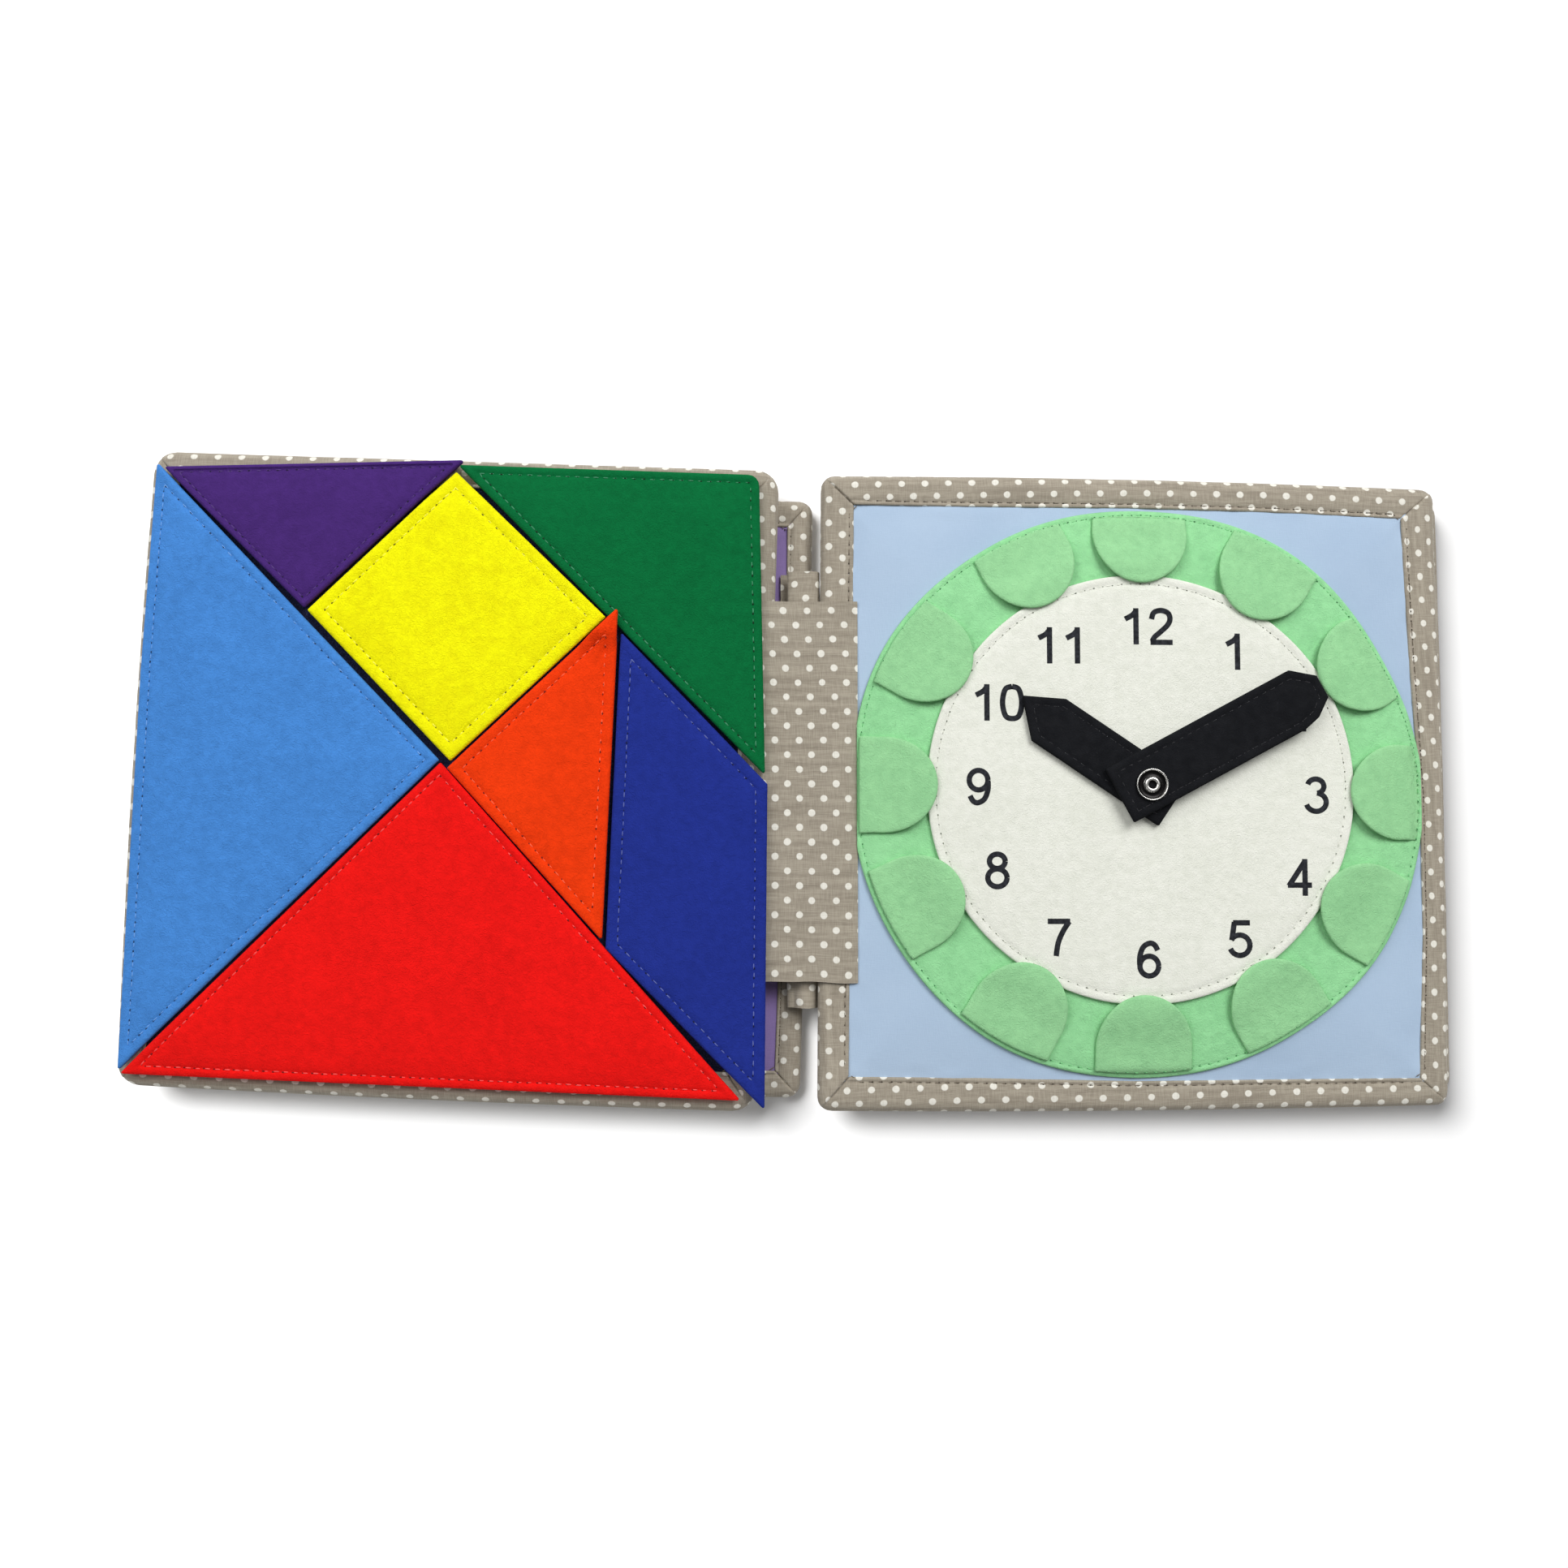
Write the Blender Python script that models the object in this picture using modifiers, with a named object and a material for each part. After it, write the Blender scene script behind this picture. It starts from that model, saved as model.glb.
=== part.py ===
"""An open cloth quiet book: four padded leaves, with a tangram page and a clock page facing up."""

import math

import bmesh
import bpy
from mathutils import Matrix, Vector

object_name = "quiet_book"

# Clearance between layers that lie on or beside one another
layer_gap = 0.0003

# Leaves: wadding between two cloth pages, with a binding folded around the edge
leaf_side = 0.2
under_leaf_side = 0.194
leaf_corner_radius = 0.004
binding_corner_radius = 0.0006
side_bow = 0.0008
inner_bow_share = 0.9
wadding_thickness = 0.0072
wadding_rim_thickness = 0.0026
page_thickness = 0.0006
page_inset = 0.0036
slope_width = 0.0045
binding_thickness = 0.0008
binding_width = 0.0095
binding_round = 0.003
side_steps = 4
corner_steps = 3

# How the leaves lie: where each one's spine edge and middle are, with the spine line at x = 0
tangram_leaf_edge_x = -0.009
tangram_leaf_y = 0.0045
tangram_leaf_turn_deg = -1.94
clock_leaf_edge_x = 0.008
left_under_leaf_edge_x = 0.0041
left_under_leaf_y = 0.0004
left_under_leaf_turn_deg = -1.15
right_under_leaf_edge_x = 0.0194
right_under_leaf_y = -0.0005
spine_height_above_pages = 0.004

# Cloth hinge strips, sewn on inside the bindings of the leaves they join
strip_thickness = 0.0005
centre_strip_length = 0.1226
centre_strip_left_x = -0.0182
centre_strip_right_x = 0.0192
centre_strip_y = -0.0009
fold_strip_length = 0.14
fold_strip_y = 0.0005
left_fold_radius = 0.003
left_fold_lift_deg = 30
right_fold_x = 0.0088
fold_steps = 6

# Tangram: felt pieces with a hook patch behind each, on a square divided in the usual way
tangram_half_side = 0.097
felt_thickness = 0.0024
felt_corner_radius = 0.0015
hook_patch_side = 0.022
hook_patch_thickness = 0.0008
outline_steps = 3

# Each piece's corners as it was cut and laid by hand, as shares of half the square from its middle
tangram_corner_shares = {
    "light_blue": ((-0.997, 0.98), (-0.999, -0.98), (-0.03, 0.042)),
    "red": ((-0.026, 0.035), (-0.979, -0.992), (0.972, -1.016)),
    "purple": ((-0.975, 0.967), (-0.491, 0.52), (0.004, 1.029)),
    "yellow": ((-0.023, 0.991), (-0.481, 0.514), (0.005, 0.039), (0.487, 0.528)),
    "green": ((-0.02, 1.013), (1.02, 0.031), (0.963, 1.013)),
    "orange": ((0.528, 0.521), (-0.005, 0.017), (0.519, -0.522)),
    "royal_blue": ((0.537, 0.482), (0.531, -0.546), (1.059, -1.038), (1.033, 0.003)),
}

# Clock: felt ring, dial and twelve flaps around it
ring_radius = 0.0918
ring_centre = (0.0007, -0.0006)
dial_radius = 0.068
dial_centre = (0.0014, 0.0003)
sheet_felt_thickness = 0.0012
disc_steps = 64
flap_count = 12
flap_width = 0.0306
flap_straight = 0.0045
flap_circle_centre = (0.002, 0.0006)
flap_hinge_radius = 0.0866
flap_nose_radius = 0.0652
flap_nose_steps = 8

# How far each flap lies past its hour, clockwise, from twelve round to eleven
flap_laid_deg = (0.9, 0.4, -0.2, 0.5, -1.2, -1.1, 0.3, -0.5, 3.2, 0.5, 1.2, 3.4)

# Clock hands: felt strips with pointed ends, on a hollow rivet
pivot_place = (0.0033, 0.0012)
hand_thickness = 0.0022
hour_hand_direction_deg = 146
hour_hand_width = 0.0172
hour_hand_offset = 0.0005
hour_hand_tail = 0.0097
hour_hand_shoulders = (0.0367, 0.0384)
hour_hand_reach = 0.0488
hour_hand_tip_width = 0
hour_hand_tip_offset = -0.0012
minute_hand_direction_deg = 28.3
minute_hand_width = 0.019
minute_hand_offset = 0.0015
minute_hand_tail = 0.0104
minute_hand_shoulders = (0.0513, 0.056)
minute_hand_reach = 0.063
minute_hand_tip_width = 0.0077
minute_hand_tip_offset = 0.0015
rivet_cap_radius = 0.005
rivet_cap_thickness = 0.001
rivet_rim_drop = 0.0004
rivet_ring_radius = 0.0024
rivet_dish_width = 0.0004
rivet_dish_depth = 0.0003
rivet_shank_radius = 0.0016
rivet_hole_radius = 0.001
rivet_plate_thickness = 0.0008
rivet_steps = 32

# Heights worked out from the layers
leaf_half = wadding_thickness / 2 + layer_gap + page_thickness
rim_half = wadding_rim_thickness / 2 + layer_gap + page_thickness + layer_gap + binding_thickness
lower_middle = leaf_half
upper_middle = 3 * leaf_half + layer_gap
page_level = 4 * leaf_half + layer_gap
spine_height = page_level + spine_height_above_pages
slope_start = binding_width + layer_gap
slope_end = slope_start + slope_width

# Each leaf: its side, the place of its middle and how far it is turned
leaves = {
    "leaf_1": (
        under_leaf_side,
        (left_under_leaf_edge_x - under_leaf_side / 2, left_under_leaf_y, lower_middle),
        left_under_leaf_turn_deg,
    ),
    "leaf_2": (
        leaf_side,
        (tangram_leaf_edge_x - leaf_side / 2, tangram_leaf_y, upper_middle),
        tangram_leaf_turn_deg,
    ),
    "leaf_3": (leaf_side, (clock_leaf_edge_x + leaf_side / 2, 0, upper_middle), 0),
    "leaf_4": (
        under_leaf_side,
        (right_under_leaf_edge_x + under_leaf_side / 2, right_under_leaf_y, lower_middle),
        0,
    ),
}


def material(name, color, roughness, metallic=0):
    """A plain Principled material."""
    made = bpy.data.materials.new(name)
    made.use_nodes = True
    shader = made.node_tree.nodes["Principled BSDF"]
    shader.inputs["Base Color"].default_value = (*color, 1)
    shader.inputs["Roughness"].default_value = roughness
    shader.inputs["Metallic"].default_value = metallic
    return made


def add(data, place, parent, look, collection):
    """Put a mesh or curve in the scene at a place in the spread, held by its parent."""
    piece = bpy.data.objects.new(data.name, data)
    collection.objects.link(piece)
    piece.parent = parent
    bpy.context.view_layer.update()
    piece.matrix_world = place
    if look:
        data.materials.append(look)
    return piece


def mesh_from(name, work):
    """Finish a bmesh as a named mesh."""
    bmesh.ops.recalc_face_normals(work, faces=work.faces)
    mesh = bpy.data.meshes.new(name)
    work.to_mesh(mesh)
    work.free()
    return mesh


def leaf_outline(side, inset):
    """A leaf's outline at an inset: arcs at the corners, and sides that bow out between them."""
    radius = max(leaf_corner_radius - inset, binding_corner_radius)
    bow = side_bow * (1 - (1 - inner_bow_share) * min(inset / binding_width, 1))
    half = side / 2 - inset
    straight = half - radius
    points = []
    for quarter in range(4):
        turn = Matrix.Rotation(quarter * math.pi / 2, 2)
        for step in range(side_steps):
            along = 2 * step / side_steps - 1
            points.append(turn @ Vector((half + bow * (1 - along * along), along * straight)))
        for step in range(corner_steps):
            angle = step / corner_steps * math.pi / 2
            corner = Vector((math.cos(angle), math.sin(angle))) * radius
            points.append(turn @ (Vector((straight, straight)) + corner))
    return points


def loft(levels, side, capped):
    """Skin a leaf's outlines taken at each (inset, height) in turn, with caps on the first and last."""
    work = bmesh.new()
    rings = [
        [work.verts.new((*point, height)) for point in leaf_outline(side, inset)]
        for inset, height in levels
    ]
    for lower, upper in zip(rings, rings[1:]):
        for index, corner in enumerate(lower):
            before = index - 1
            work.faces.new((lower[before], corner, upper[index], upper[before]))
    for ring in capped:
        work.faces.new(rings[ring])
    return work


def wadding(name, side, place, parent, look, parts):
    """The soft filling: thin under the binding, rising to a flat middle on both sides."""
    rim = wadding_rim_thickness / 2
    crown = wadding_thickness / 2
    start = slope_start + layer_gap
    end = slope_end + layer_gap
    levels = [(end, -crown), (start, -rim), (page_inset, -rim), (page_inset, rim), (start, rim), (end, crown)]
    return add(mesh_from(name, loft(levels, side, (0, -1))), place, parent, look, parts)


def page(name, side, place, parent, look, parts):
    """One cloth page, over its half of the wadding, tucked under the binding."""
    rim = rim_half - binding_thickness - layer_gap
    levels = [(page_inset, rim), (slope_start, rim), (slope_end, leaf_half)]
    piece = add(mesh_from(name, loft(levels, side, (-1,))), place, parent, look, parts)
    shell = piece.modifiers.new("cloth", "SOLIDIFY")
    shell.thickness = page_thickness
    shell.offset = -1
    shell.use_even_offset = True
    return piece


def binding(name, side, place, parent, look, parts):
    """The dotted binding, folded around the rounded edge and open towards the page."""
    flat = rim_half - binding_round
    half_round = binding_round * math.sin(math.pi / 4)
    top = [
        (binding_width, rim_half),
        (binding_round, rim_half),
        (binding_round - half_round, flat + half_round),
        (0, flat),
    ]
    levels = top + [(inset, -height) for inset, height in reversed(top)]
    piece = add(mesh_from(name, loft(levels, side, ())), place, parent, look, parts)
    shell = piece.modifiers.new("cloth", "SOLIDIFY")
    shell.thickness = binding_thickness
    shell.offset = -1
    shell.use_even_offset = True
    return piece


def circle(radius, steps, centre=(0, 0)):
    """Points around a circle."""
    turns = [2 * math.pi * step / steps for step in range(steps)]
    return [Vector(centre) + Vector((math.cos(turn), math.sin(turn))) * radius for turn in turns]


def rounded(corners, radius):
    """An outline with each corner turned into an arc."""
    points = []
    for index, corner in enumerate(corners):
        before = (corners[index - 1] - corner).normalized()
        after = (corners[(index + 1) % len(corners)] - corner).normalized()
        half_angle = before.angle(after) / 2
        middle = corner + (before + after).normalized() * radius / math.sin(half_angle)
        start = corner + before * radius / math.tan(half_angle) - middle
        sweep = start.angle_signed(corner + after * radius / math.tan(half_angle) - middle)
        for step in range(outline_steps + 1):
            points.append(middle + Matrix.Rotation(-sweep * step / outline_steps, 2) @ start)
    return points


def flat_piece(name, loops, thickness, place, parent, look, parts):
    """A piece cut from flat felt or sheet, lying on both sides of its own middle plane."""
    curve = bpy.data.curves.new(name, "CURVE")
    curve.dimensions = "2D"
    curve.fill_mode = "BOTH"
    curve.extrude = thickness / 2
    for loop in loops:
        spline = curve.splines.new("POLY")
        spline.points.add(len(loop) - 1)
        for point, (x, y) in zip(spline.points, loop):
            point.co = (x, y, 0, 1)
        spline.use_cyclic_u = True
    return add(curve, place, parent, look, parts)


def ribbon(name, path, length, place, parent, look, parts):
    """A cloth strip: its path across the spine, run along the spine and given its thickness."""
    work = bmesh.new()
    edges = [[work.verts.new((x, end * length / 2, z)) for x, z in path] for end in (-1, 1)]
    for index in range(len(path) - 1):
        work.faces.new((edges[0][index], edges[0][index + 1], edges[1][index + 1], edges[1][index]))
    piece = add(mesh_from(name, work), place, parent, look, parts)
    shell = piece.modifiers.new("cloth", "SOLIDIFY")
    shell.thickness = strip_thickness
    shell.offset = 0
    shell.use_even_offset = True
    return piece


def turned(name, profile, place, parent, look, parts):
    """A ring-shaped metal piece turned from its closed section."""
    mesh = bpy.data.meshes.new(name)
    edges = [(index, (index + 1) % len(profile)) for index in range(len(profile))]
    mesh.from_pydata([(radius, 0, height) for radius, height in profile], edges, [])
    piece = add(mesh, place, parent, look, parts)
    screw = piece.modifiers.new("turned", "SCREW")
    screw.steps = rivet_steps
    screw.render_steps = rivet_steps
    screw.use_merge_vertices = True
    screw.merge_threshold = 0.00001
    return piece


def cut_round(piece, name, radius, centre, bottom, top, cutters):
    """Cut a round hole or recess between two heights of the spread."""
    work = bmesh.new()
    bmesh.ops.create_cone(
        work, cap_ends=True, segments=rivet_steps, radius1=radius, radius2=radius, depth=top - bottom
    )
    place = Matrix.Translation((*centre, (top + bottom) / 2))
    cutter = add(mesh_from(name, work), place, None, None, cutters)
    cutter.hide_render = True
    cutter.display_type = "WIRE"
    cut = piece.modifiers.new("cut", "BOOLEAN")
    cut.object = cutter
    cut.solver = "EXACT"


def leaf_place(name, shift):
    """Where a leaf's middle lies in the spread."""
    side, middle, turn_deg = leaves[name]
    return shift @ Matrix.Translation(middle) @ Matrix.Rotation(math.radians(turn_deg), 4, "Z")


def spread_shift():
    """Move that brings the middle of the whole spread over the origin."""
    points = []
    for name, (side, middle, turn_deg) in leaves.items():
        place = leaf_place(name, Matrix())
        points += [place @ point.to_3d() for point in leaf_outline(side, 0)]
    xs = [point.x for point in points]
    ys = [point.y for point in points]
    return Matrix.Translation((-(min(xs) + max(xs)) / 2, -(min(ys) + max(ys)) / 2, 0))


def hinge_empty(name, shift, parent):
    """An empty on the spine line that carries one turning leaf."""
    empty = bpy.data.objects.new(name, None)
    empty.empty_display_size = binding_width
    bpy.context.scene.collection.objects.link(empty)
    empty.parent = parent
    bpy.context.view_layer.update()
    empty.matrix_world = shift @ Matrix.Translation((0, 0, spine_height))
    return empty


def build_leaf(name, top_page, bottom_page, looks, shift, parent, parts):
    """Wadding, two pages and the binding of one leaf."""
    side = leaves[name][0]
    place = leaf_place(name, shift)
    over = Matrix.Rotation(math.pi, 4, "X")
    filling = wadding(name + "_wadding", side, place, parent, looks["wadding"], parts)
    top = page(name + "_" + top_page, side, place, parent, looks[top_page], parts)
    page(name + "_" + bottom_page, side, place @ over, parent, looks[bottom_page], parts)
    binding(name + "_binding", side, place, parent, looks["binding"], parts)
    return filling, top


def fold_path(seam_x, back_x, fold_x, radius, lift_deg, towards):
    """A strip's way from the lower leaf's seam out to its fold and back under the upper leaf."""
    low = lower_middle + rim_half + layer_gap + strip_thickness / 2
    high = upper_middle - rim_half - layer_gap - strip_thickness / 2
    centre_x = fold_x - towards * radius
    points = [(seam_x, low)]
    end_angle = math.pi / 2 + math.radians(lift_deg)
    for step in range(fold_steps + 1):
        angle = -math.pi / 2 + (end_angle + math.pi / 2) * step / fold_steps
        reach = centre_x + towards * radius * math.cos(angle)
        points.append((reach, low + radius + radius * math.sin(angle)))
    last_x, last_height = points[-1]
    if lift_deg:
        run = (last_height - high) / math.tan(math.radians(lift_deg))
        points.append((last_x - towards * run, high))
    points.append((back_x, high))
    return points


def build_strips(looks, shift, right_parent, parts):
    """The three cloth strips that join the leaves into a book."""
    level = upper_middle + rim_half + layer_gap + strip_thickness / 2
    flat = [(centre_strip_left_x, level), (0, level), (centre_strip_right_x, level)]
    place = shift @ Matrix.Translation((0, centre_strip_y, 0))
    ribbon("hinge_strip_2", flat, centre_strip_length, place, None, looks["binding"], parts)

    place = shift @ Matrix.Translation((0, fold_strip_y, 0))
    left = fold_path(
        left_under_leaf_edge_x - binding_width,
        tangram_leaf_edge_x - binding_width,
        clock_leaf_edge_x - side_bow - layer_gap - strip_thickness / 2,
        left_fold_radius,
        left_fold_lift_deg,
        1,
    )
    ribbon("hinge_strip_1", left, fold_strip_length, place, None, looks["binding"], parts)

    right = fold_path(
        right_under_leaf_edge_x + binding_width,
        clock_leaf_edge_x + binding_width,
        right_fold_x,
        (upper_middle - lower_middle) / 2 - rim_half - layer_gap - strip_thickness / 2,
        0,
        -1,
    )
    ribbon("hinge_strip_3", right, fold_strip_length, place, right_parent, looks["binding"], parts)


def build_tangram(looks, shift, parent, parts):
    """Seven felt pieces, each lifting off with the hook patch sewn behind it."""
    leaf = leaf_place("leaf_2", shift)
    patch_level = leaf_half + layer_gap + hook_patch_thickness / 2
    felt_level = patch_level + hook_patch_thickness / 2 + layer_gap + felt_thickness / 2
    half_patch = hook_patch_side / 2
    patch = [Vector(corner) * half_patch for corner in ((-1, -1), (1, -1), (1, 1), (-1, 1))]
    for name, corner_shares in tangram_corner_shares.items():
        corners = [Vector(corner) * tangram_half_side for corner in corner_shares]
        middle = sum(corners, Vector((0, 0))) / len(corners)
        outline = rounded([corner - middle for corner in corners], felt_corner_radius)
        felt_place = leaf @ Matrix.Translation((*middle, felt_level))
        patch_place = leaf @ Matrix.Translation((*middle, patch_level))
        felt = flat_piece(
            "tangram_" + name, [outline], felt_thickness, felt_place, parent, looks[name], parts
        )
        flat_piece(
            "tangram_" + name + "_hook_patch",
            [patch],
            hook_patch_thickness,
            patch_place,
            felt,
            looks["hook_patch"],
            parts,
        )


def flap_outline():
    """A flap from its straight sewn edge to its rounded nose."""
    half = flap_width / 2
    nose = flap_hinge_radius - flap_nose_radius - flap_straight
    points = [Vector((half, 0))]
    for step in range(flap_nose_steps + 1):
        angle = math.pi * step / flap_nose_steps
        points.append(Vector((half * math.cos(angle), -flap_straight - nose * math.sin(angle))))
    points.append(Vector((-half, 0)))
    return points


def build_clock(looks, shift, parent, clock_page, filling, parts, cutters):
    """Ring, dial, twelve flaps, two hands and the rivet that they turn on."""
    leaf = leaf_place("leaf_3", shift)
    pivot = leaf @ Vector((*pivot_place, 0))
    pivot_hole_radius = rivet_shank_radius + layer_gap
    centred_hole = [
        circle(pivot_hole_radius, rivet_steps, Vector(pivot_place) - Vector(centre))
        for centre in (ring_centre, dial_centre)
    ]
    ring_bottom = leaf_half + layer_gap
    ring_place = leaf @ Matrix.Translation((*ring_centre, ring_bottom + sheet_felt_thickness / 2))
    ring_loops = [circle(ring_radius, disc_steps), centred_hole[0]]
    flat_piece("clock_ring", ring_loops, sheet_felt_thickness, ring_place, parent, looks["ring"], parts)
    dial_bottom = ring_bottom + sheet_felt_thickness + layer_gap
    dial_place = leaf @ Matrix.Translation((*dial_centre, dial_bottom + sheet_felt_thickness / 2))
    dial_loops = [circle(dial_radius, disc_steps), centred_hole[1]]
    flat_piece("clock_dial", dial_loops, sheet_felt_thickness, dial_place, parent, looks["dial"], parts)

    flap_level = dial_bottom + sheet_felt_thickness / 2
    rise = sheet_felt_thickness + layer_gap
    tilt = math.atan(rise / (flap_hinge_radius - dial_radius - layer_gap))
    for hour in range(1, flap_count + 1):
        laid_deg = flap_laid_deg[hour % flap_count]
        turn = -math.radians(360 * hour / flap_count + laid_deg)
        place = (
            leaf
            @ Matrix.Translation((*flap_circle_centre, flap_level))
            @ Matrix.Rotation(turn, 4, "Z")
            @ Matrix.Translation((0, flap_hinge_radius, 0))
            @ Matrix.Rotation(-tilt, 4, "X")
        )
        flat_piece(
            "flap_" + str(hour), [flap_outline()], sheet_felt_thickness, place, parent, looks["flap"], parts
        )

    hour_bottom = dial_bottom + sheet_felt_thickness + layer_gap
    minute_bottom = hour_bottom + hand_thickness + layer_gap
    hands = {
        "hour_hand": (
            hour_bottom,
            hour_hand_direction_deg,
            hour_hand_width,
            hour_hand_offset,
            hour_hand_tail,
            hour_hand_shoulders,
            hour_hand_reach,
            hour_hand_tip_width,
            hour_hand_tip_offset,
        ),
        "minute_hand": (
            minute_bottom,
            minute_hand_direction_deg,
            minute_hand_width,
            minute_hand_offset,
            minute_hand_tail,
            minute_hand_shoulders,
            minute_hand_reach,
            minute_hand_tip_width,
            minute_hand_tip_offset,
        ),
    }
    hole = circle(pivot_hole_radius, rivet_steps)
    for name, measures in hands.items():
        bottom, direction_deg, width, offset, tail, shoulders, reach, tip_width, tip_offset = measures
        near = offset - width / 2
        far = offset + width / 2
        corners = [Vector((-tail, near)), Vector((shoulders[0], near))]
        corners.append(Vector((reach, tip_offset - tip_width / 2)))
        if tip_width:
            corners.append(Vector((reach, tip_offset + tip_width / 2)))
        corners += [Vector((shoulders[1], far)), Vector((-tail, far))]
        place = (
            Matrix.Translation(pivot + Vector((0, 0, bottom + hand_thickness / 2)))
            @ Matrix.Rotation(math.radians(direction_deg), 4, "Z")
        )
        outline = rounded(corners, felt_corner_radius)
        flat_piece(name, [outline, hole], hand_thickness, place, parent, looks["hand"], parts)

    build_rivet(looks, pivot, minute_bottom + hand_thickness + layer_gap, parent, parts)
    plate_top = pivot.z + leaf_half - page_thickness - layer_gap
    recess_bottom = plate_top - rivet_plate_thickness - layer_gap
    recess_radius = rivet_cap_radius + layer_gap
    middle = (pivot.x, pivot.y)
    cut_round(filling, "rivet_recess", recess_radius, middle, recess_bottom, page_level, cutters)
    cut_round(clock_page, "rivet_hole", pivot_hole_radius, middle, plate_top, page_level + leaf_half, cutters)


def build_rivet(looks, pivot, cap_bottom, parent, parts):
    """The hollow rivet over the hands, and the plate that holds it behind the page."""
    plate_bottom = leaf_half - page_thickness - layer_gap - rivet_plate_thickness
    cap_top = cap_bottom + rivet_cap_thickness
    profile = [
        (rivet_hole_radius, cap_top),
        (rivet_ring_radius, cap_top),
        (rivet_ring_radius + rivet_dish_width, cap_top - rivet_dish_depth),
        (rivet_cap_radius - rivet_rim_drop, cap_top - rivet_dish_depth / 2),
        (rivet_cap_radius, cap_top - rivet_rim_drop),
        (rivet_cap_radius, cap_bottom),
        (rivet_shank_radius, cap_bottom),
        (rivet_shank_radius, plate_bottom),
        (rivet_hole_radius, plate_bottom),
    ]
    turned("rivet", profile, Matrix.Translation(pivot), parent, looks["metal"], parts)
    plate_place = Matrix.Translation(pivot + Vector((0, 0, plate_bottom + rivet_plate_thickness / 2)))
    loops = [circle(rivet_cap_radius, rivet_steps), circle(rivet_shank_radius + layer_gap, rivet_steps)]
    flat_piece(
        "rivet_back_plate", loops, rivet_plate_thickness, plate_place, parent, looks["metal"], parts
    )


def build_looks():
    """Materials of all the pieces, by what they cover."""
    navy = material("navy loop cloth", (0.007, 0.008, 0.032), 0.95)
    lavender = material("lavender cotton", (0.42, 0.38, 0.6), 0.9)
    cotton = material("plain cotton", (0.62, 0.6, 0.55), 0.9)
    return {
        "wadding": material("wadding", (0.8, 0.8, 0.78), 0.95),
        "binding": material("taupe linen", (0.37, 0.33, 0.27), 0.9),
        "inner_page": lavender,
        "outer_cover": cotton,
        "tangram_page": navy,
        "back_page": cotton,
        "clock_page": material("light blue cotton", (0.46, 0.6, 0.78), 0.9),
        "hook_patch": material("hook patch", (0.01, 0.01, 0.03), 0.8),
        "light_blue": material("light blue felt", (0.065, 0.25, 0.66), 0.95),
        "red": material("red felt", (0.8, 0.01, 0.008), 0.95),
        "purple": material("purple felt", (0.07, 0.025, 0.19), 0.95),
        "yellow": material("yellow felt", (1, 0.93, 0.003), 0.95),
        "green": material("green felt", (0.003, 0.155, 0.042), 0.95),
        "orange": material("orange felt", (0.96, 0.048, 0.004), 0.95),
        "royal_blue": material("royal blue felt", (0.018, 0.036, 0.28), 0.95),
        "ring": material("mint felt", (0.28, 0.73, 0.35), 0.95),
        "flap": material("pale mint felt", (0.3, 0.69, 0.31), 0.95),
        "dial": material("white felt", (0.84, 0.85, 0.75), 0.95),
        "hand": material("black felt", (0.012, 0.012, 0.014), 0.95),
        "metal": material("nickel", (0.6, 0.59, 0.56), 0.3, 1),
    }


def main():
    for piece in list(bpy.data.objects):
        bpy.data.objects.remove(piece, do_unlink=True)
    parts = bpy.data.collections.new(object_name)
    cutters = bpy.data.collections.new("cutters")
    bpy.context.scene.collection.children.link(parts)
    bpy.context.scene.collection.children.link(cutters)
    looks = build_looks()
    shift = spread_shift()

    tangram_hinge = hinge_empty("leaf_2_hinge", shift, None)
    right_hinge = hinge_empty("leaf_4_hinge", shift, None)
    clock_hinge = hinge_empty("leaf_3_hinge", shift, right_hinge)

    build_leaf("leaf_1", "inner_page", "outer_cover", looks, shift, None, parts)
    build_leaf("leaf_2", "tangram_page", "back_page", looks, shift, tangram_hinge, parts)
    filling, clock_page = build_leaf("leaf_3", "clock_page", "back_page", looks, shift, clock_hinge, parts)
    build_leaf("leaf_4", "inner_page", "outer_cover", looks, shift, right_hinge, parts)

    build_strips(looks, shift, right_hinge, parts)
    build_tangram(looks, shift, tangram_hinge, parts)
    build_clock(looks, shift, clock_hinge, clock_page, filling, parts, cutters)


main()
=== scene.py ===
import math

import bmesh
import bpy
from mathutils import Matrix, Vector, noise


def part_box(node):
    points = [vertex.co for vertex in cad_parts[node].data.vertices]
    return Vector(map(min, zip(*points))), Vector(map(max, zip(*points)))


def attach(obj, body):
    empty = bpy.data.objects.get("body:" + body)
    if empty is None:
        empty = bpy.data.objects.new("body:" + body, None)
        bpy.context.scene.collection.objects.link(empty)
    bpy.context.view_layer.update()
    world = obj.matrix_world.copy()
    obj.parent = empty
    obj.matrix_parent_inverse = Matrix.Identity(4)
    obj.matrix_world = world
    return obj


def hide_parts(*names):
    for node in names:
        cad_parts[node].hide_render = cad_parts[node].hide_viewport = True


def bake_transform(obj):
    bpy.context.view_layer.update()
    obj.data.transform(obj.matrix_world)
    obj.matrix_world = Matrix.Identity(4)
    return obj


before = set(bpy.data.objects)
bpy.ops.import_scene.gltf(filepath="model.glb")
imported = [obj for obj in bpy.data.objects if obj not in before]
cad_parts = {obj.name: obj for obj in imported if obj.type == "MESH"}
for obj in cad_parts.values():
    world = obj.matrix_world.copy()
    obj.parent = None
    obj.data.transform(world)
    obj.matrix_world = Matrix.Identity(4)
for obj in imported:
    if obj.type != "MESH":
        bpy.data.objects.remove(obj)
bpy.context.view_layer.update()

# Cotton pages. Each leaf is a thin pad of wadding between two pages of plain woven cotton, sewn
# round its edge. The pad is full in the middle and drawn down to the line where the binding is sewn
# on, with small puckers there. The upper half stands for the wadding and the upper page.


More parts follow.
